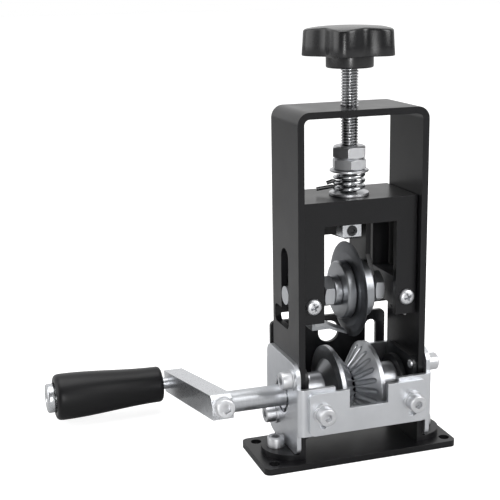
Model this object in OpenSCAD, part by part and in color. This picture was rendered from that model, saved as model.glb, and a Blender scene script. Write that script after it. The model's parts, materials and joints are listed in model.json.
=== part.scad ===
// Hand crank wire stripper, bench standing, built as an assembly.
// Lengths are in millimetres. +Z is up, -Y is the front, +X is the right.
// The origin is the centre of the four bench holes, on the underside of the base plate.
// Each piece is one module, and node picks the piece that is built.

/* [Which piece] */
// Name of the piece to build, or all of them

/* [Base plate] */
// Width of the base plate
base_w = 93; // [80:0.5:110]
// Depth of the base plate
base_d = 36.4; // [30:0.2:50]
// Thickness of the base plate
base_t = 3; // [2:0.5:6]
// How much further the base plate reaches on the left
base_left = 1.8; // [0:0.1:5]
// Corner radius of the base plate
base_corner_r = 3; // [1:0.5:8]
// Radius of a bench hole
bench_hole_r = 2.5; // [1.5:0.1:4]
// Distance between the bench holes, left to right
bench_dx = 85; // [70:1:100]
// Distance between the bench holes, front to back
bench_dy = 26; // [20:1:40]
// How far the frame stands behind the middle of the base plate
frame_y = 2.8; // [0:0.1:6]

/* [Frame] */
// Outer width of the frame
frame_w = 61.6; // [50:0.1:80]
// Depth of the frame's strap
frame_d = 33.6; // [25:0.1:45]
// Height of the frame's top face
frame_h = 160.3; // [120:0.1:200]
// Thickness of the frame's strap
strap_t = 3; // [2:0.1:5]
// Outer bend radius at the top of the frame
frame_bend_r = 5.5; // [3.5:0.1:10]
// Radius of the half-round feet
foot_r = 13.2; // [10:0.1:16]
// Position of the feet, front to back
foot_y = -3.4; // [-8:0.1:4]
// Distance of the foot screws from the middle
foot_screw_x = 37.4; // [34:0.1:42]
// Front edge of the side slots
slot_front_y = -3.9; // [-8:0.1:0]
// Width of the side slots
slot_w = 9.2; // [6:0.1:14]
// Height of the slots' round tops
slot_top_z = 98.2; // [90:0.1:120]
// Back edge of the wide openings under the slots
port_back_y = 14.2; // [8:0.1:16]
// Lower edge of the wide openings
port_low_z = 61; // [55:0.1:66]
// Upper edge of the wide openings
port_high_z = 69.5; // [66:0.1:80]
// Corner radius of the wide openings
port_r = 2.5; // [1:0.1:4]

/* [Side brackets, front plate and rear guide plate] */
// Thickness of the plated sheet
sheet_t = 2; // [1:0.1:3]
// Front face of the side brackets' flanges
flange_front_y = -22; // [-26:0.1:-18]
// Back face of the side brackets' rear flanges
bracket_back_y = 24; // [20:0.1:32]
// Lower edge of the side brackets
bracket_low_z = 6.2; // [5:0.1:12]
// Upper edge of the side brackets
bracket_high_z = 48.7; // [40:0.1:60]
// Outer bend radius of the side brackets
bracket_bend_r = 3; // [2.5:0.1:6]
// Corner radius at the front of the side brackets, above
bracket_front_r = 6.5; // [3:0.1:9]
// Corner radius at the front of the side brackets, below
bracket_toe_r = 4; // [2:0.1:8]
// Corner radius at the back of the side brackets, above
bracket_back_r = 5.5; // [3:0.1:9]
// Corner radius at the back of the side brackets, below
bracket_heel_r = 9.5; // [4:0.1:12]
// Distance of the flanges' inner ends from the middle
flange_in_x = 15.5; // [12:0.1:20]
// Lower edge of the flanges
flange_low_z = 16.3; // [12:0.1:20]
// Upper edge of the flanges
flange_high_z = 38.5; // [34:0.1:44]
// Distance of the rear flanges' inner ends from the middle
rear_flange_in_x = 16.8; // [12:0.1:20]
// Upper edge of the rear flanges
rear_flange_high_z = 40.2; // [34:0.1:44]
// Half the width of the front plate
front_plate_x = 28.5; // [24:0.1:32]
// Lower edge of the front plate
front_plate_low_z = 17; // [12:0.1:22]
// Upper edge of the front plate
front_plate_high_z = 36.9; // [30:0.1:42]
// Half the width of the notch in the front plate
notch_x = 9.4; // [6:0.1:12]
// Lower edge of the notch in the front plate
notch_z = 28.2; // [24:0.1:32]
// Distance of the front plate's slots from the middle
plate_slot_x = 22; // [18:0.1:25]
// Width of the plate slots
plate_slot_w = 4.4; // [4:0.1:6]
// Lower end of the front plate's slots
plate_slot_low_z = 20.1; // [18:0.1:24]
// Upper end of the front plate's slots
plate_slot_high_z = 31.5; // [28:0.1:34]
// Height of the front plate's screws
plate_screw_z = 27.3; // [22:0.1:30]

// Half the width of the rear guide plate
rear_plate_x = 29.7; // [24:0.1:32]
// Upper edge of the rear guide plate
rear_plate_high_z = 56.6; // [50:0.1:64]
// Corner radius of the front plate and the rear guide plate
plate_corner_r = 2.5; // [1:0.1:4]
// Radius of the wire's way out
wire_hole_r = 5.4; // [2:0.1:7]
// Height of the wire's way out
wire_hole_z = 48.4; // [44:0.1:54]
// Distance of the rear plate's slots from the middle
rear_slot_x = 22.2; // [16:0.1:24]
// Width of the rear plate's slots
rear_slot_w = 5.8; // [4.2:0.1:6]
// Upper end of the rear plate's slots
rear_slot_high_z = 52; // [48:0.1:56]
// Front-to-back position of the side brackets' upper screws
side_high_y = -13.3; // [-14:0.1:-8]
// Height of the side brackets' upper screws
side_high_z = 41; // [36:0.1:42]
// Front-to-back position of the side brackets' lower screws
side_low_y = 9.2; // [6:0.1:14]
// Height of the side brackets' lower screws
side_low_z = 16.7; // [14:0.1:17]

/* [Crank shaft and bearings] */
// Height of the crank shaft
shaft_z = 28.9; // [26:0.1:34]
// Position of the crank shaft, front to back
shaft_y = 0.5; // [-2:0.1:2]
// Radius of the crank shaft
shaft_r = 5; // [4:0.1:7]
// Radius of the shaft's turned end inside the crank arm
shaft_end_r = 3.4; // [2.5:0.1:4.5]
// Outer radius of the bearings
bearing_r = 9.5; // [8:0.1:12]
// Radius of the bearing's inner ring
inner_ring_r = 6.4; // [5.8:0.1:7]
// Inner radius of the bearing's outer ring
outer_ring_r = 8.1; // [7.4:0.1:8.6]
// Radius of a bearing ball
ball_r = 1.25; // [1:0.05:1.5]
// Number of balls in a bearing
ball_count = 9; // [7:1:12]
// Thickness of the plates that hold the bearings
retainer_t = 2; // [1:0.1:3]
// Radius of the hole in those plates
retainer_hole_r = 8.4; // [7:0.1:9]
// Front edge of those plates
retainer_front_y = -15.8; // [-16.5:0.1:-12]
// Back edge of those plates
retainer_back_y = 13.8; // [12:0.1:16.5]
// Lower edge of those plates
retainer_low_z = 11.2; // [7:0.1:14]
// Upper edge of those plates
retainer_high_z = 44.7; // [43:0.1:48]
// Corner radius of those plates
retainer_corner_r = 4.2; // [2:0.1:8]
// Outer radius of the spacer rings
spacer_r = 12.5; // [10:0.1:15]

/* [Feed wheels] */
// Outer radius of the feed wheels
wheel_r = 20.2; // [16:0.1:24]
// Radius at the bottom of the groove between the wheels
groove_r = 9.8; // [8:0.1:14]
// Distance of the wheels' back faces from the middle
wheel_back_x = 10.4; // [9:0.1:14]
// Width of the smooth land at the rim
rim_land = 1.9; // [1:0.1:3]
// Half the width of the groove's flat bottom
groove_flat_x = 0.6; // [0.3:0.1:2]
// Number of gashes in each wheel
gash_count = 22; // [12:1:30]
// Radius of a gash
gash_r = 1.35; // [0.8:0.05:2]
// Depth of the gash's centre line above the wheel's face
gash_lift = 0.25; // [0:0.05:0.8]
// Smooth width left between the gashes and the rim
gash_land = 2.3; // [1:0.1:4]
// Radius of the left wheel's hub
left_hub_r = 8.6; // [8:0.1:12]
// Radius where the left wheel's hub begins to flare
flare_r = 14; // [10:0.1:18]
// Where the left wheel's hub ends its flare
flare_x = 14.3; // [12:0.1:18]
// End of the left wheel's hub
left_hub_x = 24.6; // [20:0.1:25]
// Radius of the right wheel's hub
right_hub_r = 9; // [7:0.1:12]
// End of the right wheel's hub
right_hub_x = 22.5; // [18:0.1:24]

/* [Crank arm and grip] */
// Angle of the crank arm below the level, at rest
arm_angle = 11.8; // [0:0.1:40]
// Width of the crank arm's bar
arm_w = 9.7; // [8:0.1:12]
// Height of the crank arm's bar
arm_h = 11; // [8:0.1:14]
// Position of the crank arm's inner face
arm_in_x = -59.4; // [-70:0.1:-50]
// Length of the arm ahead of the shaft
arm_front = 9.9; // [8:0.1:14]
// Length of the arm behind the shaft
arm_back = 81.4; // [60:0.1:100]
// Distance from the shaft to the grip's spindle
throw = 73.8; // [55:0.1:92]
// Slanted corner at the front of the arm
arm_corner = 2; // [1:0.1:4]
// Radius of the arm's clamp screw
arm_screw_r = 2.5; // [2:0.1:3]
// Radius of the clamp screw's head
arm_head_r = 4.2; // [3.5:0.1:5]
// Height of the clamp screw's head
arm_head_h = 5; // [4:0.1:6]
// Width across the flats of the clamp screw's socket
arm_socket_af = 4; // [3:0.1:5]
// Radius of the spindle
spindle_r = 3; // [2.5:0.1:4]
// Position of the grip's inner end
grip_in_x = -73; // [-76:0.1:-70]
// Position of the grip's outer end
grip_out_x = -127.3; // [-140:0.1:-110]
// Radius of the grip at its inner end
grip_in_r = 9.1; // [7:0.1:12]
// Radius of the grip at its outer end
grip_out_r = 11.6; // [9:0.1:14]
// Radius of the cap on the grip's end
cap_r = 7.3; // [5:0.1:9]
// Position of the cap's outer face
cap_out_x = -131.4; // [-140:0.1:-128]

/* [Carriage] */
// Half the width of the carriage
carriage_x = 27.3; // [24:0.1:27.5]
// Front face of the carriage
carriage_front_y = -13.6; // [-16:0.1:-11]
// Back face of the carriage
carriage_back_y = 18.4; // [16:0.1:18.7]
// Top face of the carriage
carriage_top_z = 120.5; // [112:0.1:130]
// Thickness of the carriage's plates
carriage_t = 3; // [2:0.1:4]
// Half the width of the carriage's window
window_x = 17.4; // [14:0.1:20]
// Height of the window's upper edge
window_z = 109.5; // [104:0.1:114]
// Height of the rear window's upper edge on the left
rear_window_z = 98.8; // [95:0.1:105]
// Height of the rear window's upper edge beside the blade's arm
rear_step_z = 95.9; // [93:0.1:100]
// Where the rear window's upper edge begins to fall
rear_fall_x0 = -2.2; // [-10:0.1:2]
// Where the rear window's upper edge stops falling
rear_fall_x1 = 4.9; // [3:0.1:7]
// Lower end of the carriage's front legs
front_leg_z = 65.8; // [62:0.1:70]
// Lower end of the carriage's rear legs
rear_leg_z = 63.5; // [61:0.1:70]
// Inner edge of the carriage's rear legs
rear_leg_x = 19; // [15:0.1:22]
// Inner face of the guide blocks
guide_in_x = 18.6; // [17:0.1:21]
// Lower face of the guide blocks
guide_low_z = 69; // [66:0.1:72]
// Upper face of the guide blocks
guide_high_z = 82.4; // [80:0.1:90]
// Radius of the guide pins in the side slots
guide_pin_r = 4.25; // [3:0.05:4.4]
// Distance of the carriage's screws from the middle
leg_screw_x = 22.6; // [20:0.1:25]
// Height of the carriage's screws
leg_screw_z = 73.9; // [71:0.1:76]
// Radius of the carriage screws' heads
cross_head_r = 3.65; // [3:0.05:4]

/* [Wire finger] */
// Thickness of the wire finger
finger_t = 1.5; // [1:0.1:2]
// Half the width of the wire finger
finger_w = 5.5; // [3:0.1:7]
// Where the finger begins to slope down, from the middle
finger_start_x = 11.5; // [9:0.1:14]
// Height of the finger's level part
finger_low_z = 60; // [59:0.1:62]
// How far the finger's tip lies under its level part
finger_drop = 4.2; // [2:0.1:5]

/* [Blade] */
// Height of the blade's axle
axle_z = 76.2; // [72:0.1:82]
// Position of the blade's axle, front to back
axle_y = 0.5; // [-2:0.1:2]
// Radius of the blade
blade_r = 22; // [18:0.1:25]
// Thickness of the blade
blade_t = 2; // [1:0.1:3]
// Radius where the blade's bevel begins
bevel_r = 17; // [14:0.1:20]
// Radius of the left clamping collar
left_collar_r = 13.4; // [11:0.1:15]
// Radius of the right clamping collar
right_collar_r = 13.2; // [11:0.1:15]
// Left end of the left collar
left_collar_x = -5.4; // [-7:0.1:-3]
// Right end of the right collar
right_collar_x = 7.9; // [5:0.1:8]
// Radius of the sleeve that the blade turns on
sleeve_r = 5.5; // [5:0.1:7]
// Radius of the sleeve's flange
sleeve_flange_r = 7; // [6:0.1:9]
// Left end of the sleeve's flange
sleeve_x = -8.65; // [-10:0.05:-7]
// Left face of the arm that holds the blade
hanger_x = 8.25; // [7.5:0.05:10]
// Thickness of that arm
hanger_t = 2.4; // [2:0.1:4]
// Radius of that arm's round end
hanger_r = 5.5; // [5:0.1:8]
// Front edge of that arm, above the blade
hanger_front_y = -0.5; // [-4:0.1:2]
// Height where that arm begins to narrow
hanger_neck_z = 92; // [88:0.1:95]
// Height where that arm is as narrow as its end
hanger_waist_z = 83; // [80:0.1:86]
// How far that arm's top reaches to the right
hanger_reach = 14.8; // [8:0.1:16]
// Width across the flats of the blade's bolt and nut
bolt_af = 13; // [11:0.1:15]
// Height of the bolt's head
bolt_head_h = 5.5; // [4:0.1:7]
// Height of the nut
bolt_nut_h = 5.1; // [4:0.1:8]
// Turn of the bolt's head and nut
bolt_turn = 13; // [0:1:30]

/* [Adjuster] */
// Radius of the threaded rod
rod_r = 4; // [3:0.1:6]
// Radius of the rod's turned lower end
rod_end_r = 2.75; // [2:0.05:3.5]
// Lower end of the rod
rod_low_z = 102; // [98:0.1:106]
// Upper end of the rod, inside the knob
rod_top_z = 191; // [186:0.1:192]
// Half the width of the square block
block_x = 4.6; // [4:0.1:6]
// Half the depth of the square block
block_y = 3.7; // [3.5:0.1:6]
// Lower face of the square block
block_low_z = 101.5; // [98:0.1:104]
// Height of the set screw in the block
set_screw_z = 104.4; // [103:0.1:108]
// Radius of the set screw in the block
set_screw_r = 2.4; // [2:0.1:2.6]
// Radius of the flange above the block
rod_flange_r = 7.4; // [6:0.1:7.6]
// Outer radius of the spring's washer
washer_r = 9; // [8:0.1:12]
// Thickness of the spring's washer
washer_t = 1.3; // [1:0.1:2]
// Radius of the spring, to the middle of its wire
spring_r = 6.5; // [6:0.1:9]
// Thickness of the spring's wire
spring_wire = 1.5; // [0.8:0.1:2]
// Number of the spring's turns
spring_turns = 3.25; // [2:0.25:6]
// Number of straight pieces in one turn of the spring
spring_steps = 8; // [8:1:24]
// Number of sides of the spring's wire
spring_sides = 6; // [5:1:12]
// Direction of the spring's lower end
spring_phase = -100; // [-180:5:180]
// Height where the spring's upper end meets the nuts
spring_top_z = 132.1; // [128:0.1:136]
// Width across the flats of the two nuts
jam_af = 14; // [12:0.1:15]
// Height of the lower nut
jam_low_h = 5.1; // [4:0.1:7]
// Height of the upper nut
jam_high_h = 5.5; // [4:0.1:7]
// Turn of the lower nut
jam_low_turn = 18.4; // [0:0.1:60]
// Turn of the upper nut
jam_high_turn = 6.7; // [0:0.1:60]
// Thickness of one leg of the split pin
pin_leg = 0.95; // [0.8:0.05:1.2]
// Length of the split pin's longer leg, from the rod's axis
pin_long = 17.5; // [12:0.1:20]
// Length of the split pin's shorter leg, from the rod's axis
pin_short = 13; // [9:0.1:16]
// Height of the split pin
pin_z = 125.9; // [125.8:0.05:126]
// Direction of the split pin's legs
pin_turn = 160; // [90:5:200]
// Radius of the knob, to the tips of its lobes
knob_r = 20.6; // [16:0.1:26]
// Radius of one lobe of the knob
lobe_r = 6.6; // [4:0.1:9]
// Number of lobes
lobe_count = 6; // [4:1:9]
// Radius of the valleys between the lobes
valley_r = 15.5; // [12:0.1:18]
// Direction of one lobe, at rest
lobe_turn = -7.3; // [-30:0.1:30]
// Size of the slanted rim around the knob's top
knob_edge = 0.6; // [0.3:0.1:2]
// Lower face of the knob's lobes
knob_low_z = 181.5; // [176:0.1:186]
// Upper edge of the knob's lobes
knob_high_z = 193; // [188:0.1:198]
// Top of the knob's dome
knob_top_z = 195; // [190:0.1:200]
// Radius of the knob's hub
knob_hub_r = 11.4; // [8:0.1:14]
// Lower end of the knob's hub
knob_hub_z = 177; // [172:0.1:180]

/* [Screws and fits] */
// Radius of the small screws
screw_r = 2; // [1.5:0.1:2.1]
// Radius of a cap screw's head
screw_head_r = 4; // [3:0.1:4.5]
// Height of a cap screw's head
screw_head_h = 4.6; // [3:0.1:5]
// Width across the flats of a cap screw's socket
socket_af = 3.5; // [2:0.1:4]
// Depth of a cap screw's socket
socket_h = 2.4; // [1:0.1:3]
// Outer radius of the small washers
small_washer_r = 4.8; // [4:0.1:6]
// Thickness of the small washers
small_washer_t = 1; // [0.5:0.1:1.5]
// Clearance between a fixed piece and its hole
seat_gap = 0.03; // [0.01:0.01:0.1]
// Clearance between a turning piece and its hole
run_gap = 0.05; // [0.02:0.01:0.1]
// Space left between pieces that move past each other
free_gap = 0.35; // [0.3:0.05:1]

/* [Hidden] */
$fn = 64;
// A quarter of a turn, in degrees
quarter = 90;
// How far a cutting shape runs past the face it cuts
over = 1;
wall_out = frame_w / 2;
wall_in = wall_out - strap_t;
front_y = -frame_d / 2;
back_y = frame_d / 2;
bracket_out = wall_out + sheet_t;
bearing_in = wall_in;
bearing_mid = (bearing_in + bracket_out) / 2;
arm_out_x = arm_in_x - arm_w;
slot_r = slot_w / 2;
slot_mid_y = slot_front_y + slot_r;
groove_top_x = wheel_back_x - rim_land;
face_slope = atan2(wheel_r - groove_r, groove_top_x - groove_flat_x);
face_length = norm([wheel_r - groove_r, groove_top_x - groove_flat_x]);
carriage_low_z = carriage_top_z - carriage_t;
hex_share = 1 / cos(30);
spring_low_z = carriage_top_z + washer_t;
spring_pitch = (spring_top_z - spring_low_z - spring_wire - seat_gap * 2) / spring_turns;
jam_low_z = spring_top_z;
jam_high_z = jam_low_z + jam_low_h + seat_gap;
sleeve_flange_end = left_collar_x - free_gap + seat_gap;
hanger_out = hanger_x + hanger_t;
bolt_end_x = hanger_out + bolt_nut_h + over;
rear_back_y = bracket_back_y + sheet_t;
guide_front_y = carriage_front_y + carriage_t;
guide_back_y = carriage_back_y - carriage_t;

// Shapes that many pieces use

module at_frame() {
    translate([0, frame_y, 0]) children();
}

module block(low, high) {
    translate(low) cube(high - low);
}

module round_x(x0, x1, r, y, z) {
    translate([x0, y, z]) rotate([0, quarter, 0]) cylinder(h = x1 - x0, r = r);
}

module round_y(y0, y1, r, x, z) {
    translate([x, y0, z]) rotate([-quarter, 0, 0]) cylinder(h = y1 - y0, r = r);
}

module round_z(z0, z1, r, x, y) {
    translate([x, y, z0]) cylinder(h = z1 - z0, r = r);
}

module hex_z(z0, z1, af) {
    translate([0, 0, z0]) cylinder(h = z1 - z0, r = af / 2 * hex_share, $fn = 6);
}

// A flat outline, given in Y and Z, made solid from x0 to x1
module slab_x(x0, x1) {
    translate([x0, 0, 0]) rotate([quarter, 0, quarter]) linear_extrude(height = x1 - x0) children();
}

// A flat outline, given in X and Z, made solid from y0 to y1
module slab_y(y0, y1) {
    translate([0, y1, 0]) rotate([quarter, 0, 0]) linear_extrude(height = y1 - y0) children();
}

// A flat outline, given in X and Y, made solid from z0 to z1
module slab_z(z0, z1) {
    translate([0, 0, z0]) linear_extrude(height = z1 - z0) children();
}

module panel(low, high) {
    translate(low) square(high - low);
}

// What is taken off a square corner to round it, turned to the corner's own quarter
module corner(at, turn, r) {
    side_x = (turn == 0 || turn == 270) ? r : -r;
    side_y = turn < 180 ? r : -r;
    translate([at.x - side_x, at.y - side_y]) rotate(turn) difference() {
        square(r + over);
        circle(r = r);
    }
}

module rounded(low, high, r) {
    difference() {
        panel(low, high);
        corner(high, 0, r);
        corner([low.x, high.y], 90, r);
        corner(low, 180, r);
        corner([high.x, low.y], 270, r);
    }
}

// An upright slot, between two heights
module upright_slot(x, z0, z1, w) {
    panel([x - w / 2, z0 + w / 2], [x + w / 2, z1 - w / 2]);
    for (z = [z0 + w / 2, z1 - w / 2]) translate([x, z]) circle(r = w / 2);
}

// A shape turned about the crank shaft's axis, its outline given as radius and X
module turned_x(y, z) {
    translate([0, y, z]) rotate([0, quarter, 0]) rotate_extrude() children();
}

// A cap screw with its head's underside at the origin and its shank pointing down
module cap_screw(shank) {
    difference() {
        union() {
            translate([0, 0, -shank]) cylinder(h = shank + over, r = screw_r);
            cylinder(h = screw_head_h, r = screw_head_r);
        }
        hex_z(screw_head_h - socket_h, screw_head_h + over, socket_af);
    }
}

module washer(r_out, r_in, t) {
    difference() {
        cylinder(h = t, r = r_out);
        translate([0, 0, -over]) cylinder(h = t + over * 2, r = r_in);
    }
}

module mirrored() {
    children();
    mirror([1, 0, 0]) children();
}

module at_arm() {
    translate([0, shaft_y, shaft_z]) rotate([-arm_angle, 0, 0]) children();
}

// Base plate and frame

module base_plate() {
    color("#1c1c1e") difference() {
        slab_z(0, base_t)
            rounded([-base_w / 2 - base_left, -base_d / 2], [base_w / 2, base_d / 2], base_corner_r);
        for (x = [-bench_dx / 2, bench_dx / 2], y = [-bench_dy / 2, bench_dy / 2])
            round_z(-over, base_t + over, bench_hole_r, x, y);
        at_frame() mirrored() round_z(-over, base_t + over, screw_r + seat_gap, foot_screw_x, foot_y);
    }
}

module frame_arch() {
    slab_y(front_y, back_y) difference() {
        panel([-wall_out, base_t], [wall_out, frame_h]);
        corner([wall_out, frame_h], 0, frame_bend_r);
        corner([-wall_out, frame_h], 90, frame_bend_r);
        difference() {
            panel([-wall_in, 0], [wall_in, frame_h - strap_t]);
            corner([wall_in, frame_h - strap_t], 0, frame_bend_r - strap_t);
            corner([-wall_in, frame_h - strap_t], 90, frame_bend_r - strap_t);
        }
    }
}

module frame_foot() {
    slab_z(base_t, base_t + strap_t) intersection() {
        panel([wall_in + over, foot_y - foot_r], [wall_out + foot_r, foot_y + foot_r]);
        translate([wall_out, foot_y]) circle(r = foot_r);
    }
}

module main_frame() {
    color("#1b1b1d") at_frame() difference() {
        union() {
            frame_arch();
            mirrored() frame_foot();
        }
        slab_x(-wall_out - over, wall_out + over) {
            panel([slot_front_y, port_low_z + port_r], [slot_front_y + slot_w, slot_top_z - slot_r]);
            translate([slot_mid_y, slot_top_z - slot_r]) circle(r = slot_r);
            rounded([slot_front_y, port_low_z], [port_back_y, port_high_z], port_r);
        }
        round_z(frame_h - strap_t - over, frame_h + over, rod_r + run_gap, 0, 0);
        round_x(-wall_out - over, wall_out + over, bearing_r + seat_gap, shaft_y, shaft_z);
        side_screw_holes();
        mirrored() round_z(0, base_t + strap_t + over, screw_r + seat_gap, foot_screw_x, foot_y);
    }
}

// Where the screws pass through the brackets and walls, as front-to-back and height
side_screw_at = [[side_high_y, side_high_z], [side_low_y, side_low_z]];

module side_screw_holes() {
    for (s = side_screw_at)
        round_x(-bracket_out - over, bracket_out + over, screw_r + seat_gap, s.x, s.y);
}

module foot_screws() {
    color("#c9cacc") at_frame() mirrored()
        translate([foot_screw_x, foot_y, base_t + strap_t]) cap_screw(base_t + strap_t - over / 2);
}

// Side brackets and front plate

// The quarter of a bent sheet, seen from above, at the front or the back of a bracket
module sheet_bend(centre, low, high) {
    intersection() {
        translate(centre) difference() {
            circle(r = bracket_bend_r);
            circle(r = bracket_bend_r - sheet_t);
        }
        panel(low, high);
    }
}

module side_bracket() {
    front_bend_y = flange_front_y + bracket_bend_r;
    rear_bend_y = bracket_back_y - bracket_bend_r;
    bend_x = bracket_out - bracket_bend_r;
    difference() {
        union() {
            slab_x(wall_out, bracket_out) difference() {
                panel([front_bend_y, bracket_low_z], [rear_bend_y, bracket_high_z]);
                corner([rear_bend_y, bracket_high_z], 0, bracket_back_r);
                corner([front_bend_y, bracket_high_z], 90, bracket_front_r);
                corner([front_bend_y, bracket_low_z], 180, bracket_toe_r);
                corner([rear_bend_y, bracket_low_z], 270, bracket_heel_r);
            }
            block([flange_in_x, flange_front_y, flange_low_z],
                [bend_x, flange_front_y + sheet_t, flange_high_z]);
            slab_z(flange_low_z, flange_high_z) sheet_bend([bend_x, front_bend_y],
                [bend_x, flange_front_y - over], [bracket_out + over, front_bend_y]);
            block([rear_flange_in_x, bracket_back_y - sheet_t, flange_low_z],
                [bend_x, bracket_back_y, rear_flange_high_z]);
            slab_z(flange_low_z, rear_flange_high_z) sheet_bend([bend_x, rear_bend_y],
                [bend_x, rear_bend_y], [bracket_out + over, bracket_back_y + over]);
        }
        round_x(0, bracket_out + over, bearing_r + seat_gap, shaft_y, shaft_z);
        side_screw_holes();
        round_y(flange_front_y - over, front_bend_y, screw_r + seat_gap, plate_slot_x, plate_screw_z);
        round_y(rear_bend_y, bracket_back_y + over, screw_r + seat_gap, rear_slot_x, plate_screw_z);
    }
}

module side_bracket_left() {
    color("#b9bbbf") at_frame() mirror([1, 0, 0]) side_bracket();
}

module side_bracket_right() {
    color("#b9bbbf") at_frame() side_bracket();
}

module bracket_washers() {
    color("#c9cacc") at_frame() mirrored() for (s = side_screw_at)
        translate([bracket_out, s.x, s.y]) rotate([0, quarter, 0])
            washer(small_washer_r, screw_r + seat_gap, small_washer_t);
}

module bracket_screws() {
    grip_length = small_washer_t + bracket_out - wall_in + retainer_t + small_washer_t;
    color("#c9cacc") at_frame() mirrored() for (s = side_screw_at)
        translate([bracket_out + small_washer_t, s.x, s.y]) rotate([0, quarter, 0])
            cap_screw(grip_length);
}

module front_plate() {
    plate_y = flange_front_y - sheet_t;
    color("#c3c5c9") at_frame() slab_y(plate_y, flange_front_y) difference() {
        rounded([-front_plate_x, front_plate_low_z], [front_plate_x, front_plate_high_z], plate_corner_r);
        panel([-notch_x, notch_z], [notch_x, front_plate_high_z + over]);
        for (x = [-plate_slot_x, plate_slot_x])
            upright_slot(x, plate_slot_low_z, plate_slot_high_z, plate_slot_w);
    }
}

module front_plate_washers() {
    color("#c9cacc") at_frame() mirrored()
        translate([plate_slot_x, flange_front_y - sheet_t, plate_screw_z]) rotate([quarter, 0, 0])
            washer(small_washer_r, screw_r + seat_gap, small_washer_t);
}

module front_plate_screws() {
    color("#c9cacc") at_frame() mirrored()
        translate([plate_slot_x, flange_front_y - sheet_t - small_washer_t, plate_screw_z])
            rotate([quarter, 0, 0]) cap_screw(sheet_t * 2 + small_washer_t * 2);
}

// Rear guide plate

module rear_guide_plate() {
    color("#1b1b1d") at_frame() slab_y(bracket_back_y, rear_back_y) difference() {
        rounded([-rear_plate_x, front_plate_low_z], [rear_plate_x, rear_plate_high_z], plate_corner_r);
        translate([0, wire_hole_z]) circle(r = wire_hole_r);
        for (x = [-rear_slot_x, rear_slot_x])
            upright_slot(x, plate_slot_low_z, rear_slot_high_z, rear_slot_w);
    }
}

module rear_plate_washers() {
    color("#c9cacc") at_frame() mirrored()
        translate([rear_slot_x, rear_back_y, plate_screw_z]) rotate([-quarter, 0, 0])
            washer(small_washer_r, screw_r + seat_gap, small_washer_t);
}

module rear_plate_screws() {
    color("#c9cacc") at_frame() mirrored()
        translate([rear_slot_x, rear_back_y + small_washer_t, plate_screw_z])
            rotate([-quarter, 0, 0]) cap_screw(sheet_t * 2 + small_washer_t * 2);
}

// Bearings and the plates that hold them

module bearing_retainer() {
    plate_in = wall_in - retainer_t;
    difference() {
        slab_x(plate_in, wall_in) difference() {
            rounded([retainer_front_y, retainer_low_z], [retainer_back_y, retainer_high_z],
                retainer_corner_r);
            translate([shaft_y, shaft_z]) circle(r = retainer_hole_r);
        }
        side_screw_holes();
    }
}

module bearing_retainer_left() {
    color("#202022") at_frame() mirror([1, 0, 0]) bearing_retainer();
}

module bearing_retainer_right() {
    color("#202022") at_frame() bearing_retainer();
}

module race_groove(r) {
    translate([r, bearing_mid]) circle(r = ball_r + run_gap);
}

module bearing_outer() {
    turned_x(shaft_y, shaft_z) difference() {
        panel([outer_ring_r, bearing_in], [bearing_r, bracket_out]);
        race_groove((inner_ring_r + outer_ring_r) / 2);
    }
}

module bearing_inner() {
    turned_x(shaft_y, shaft_z) difference() {
        panel([shaft_r + seat_gap, bearing_in], [inner_ring_r, bracket_out]);
        race_groove((inner_ring_r + outer_ring_r) / 2);
    }
}

module bearing_balls() {
    translate([bearing_mid, shaft_y, shaft_z])
        for (k = [0 : ball_count - 1]) rotate([k * 360 / ball_count, 0, 0])
            translate([0, 0, (inner_ring_r + outer_ring_r) / 2]) sphere(r = ball_r);
}

module bearing_outer_left() {
    color("#a9abae") at_frame() mirror([1, 0, 0]) bearing_outer();
}

module bearing_outer_right() {
    color("#a9abae") at_frame() bearing_outer();
}

module bearing_inner_left() {
    color("#a9abae") at_frame() mirror([1, 0, 0]) bearing_inner();
}

module bearing_inner_right() {
    color("#a9abae") at_frame() bearing_inner();
}

module bearing_balls_left() {
    color("#d0d1d3") at_frame() mirror([1, 0, 0]) bearing_balls();
}

module bearing_balls_right() {
    color("#d0d1d3") at_frame() bearing_balls();
}

// Crank shaft, feed wheels and what is fixed to the shaft

module crank_shaft() {
    color("#bfc1c4") at_frame() union() {
        round_x(arm_in_x, bracket_out, shaft_r, shaft_y, shaft_z);
        round_x(arm_out_x, arm_in_x + over, shaft_end_r, shaft_y, shaft_z);
    }
}

// A gash cutter: a round bar with a nose, lying along the wheel's slanted face
module gash_cutter() {
    nose = gash_r * 1.5;
    run = face_length - gash_land - nose;
    rotate_extrude() polygon([
        [0, -gash_r * 3],
        [gash_r, -gash_r * 3],
        [gash_r, run],
        [gash_r * 0.92, run + nose * 0.35],
        [gash_r * 0.7, run + nose * 0.7],
        [gash_r * 0.38, run + nose * 0.92],
        [0, run + nose]]);
}

// All the gashes of the right wheel
module gashes() {
    translate([0, shaft_y, shaft_z]) for (k = [0 : gash_count - 1])
        rotate([k * 360 / gash_count, 0, 0])
            translate([groove_flat_x, 0, groove_r + gash_lift])
                rotate([0, quarter - face_slope, 0]) gash_cutter();
}

module hub_screw_hole(x) {
    translate([x, shaft_y, shaft_z]) rotate([180, 0, 0]) cylinder(h = wheel_r, r = screw_r + seat_gap);
}

module feed_wheel_right() {
    color("#8b8d91") at_frame() difference() {
        turned_x(shaft_y, shaft_z) polygon([
            [shaft_r + seat_gap, seat_gap],
            [groove_r, seat_gap],
            [groove_r, groove_flat_x],
            [wheel_r, groove_top_x],
            [wheel_r, wheel_back_x],
            [right_hub_r, wheel_back_x],
            [right_hub_r, right_hub_x],
            [shaft_r + seat_gap, right_hub_x]]);
        gashes();
        hub_screw_hole((wheel_back_x + right_hub_x) / 2);
    }
}

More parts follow.
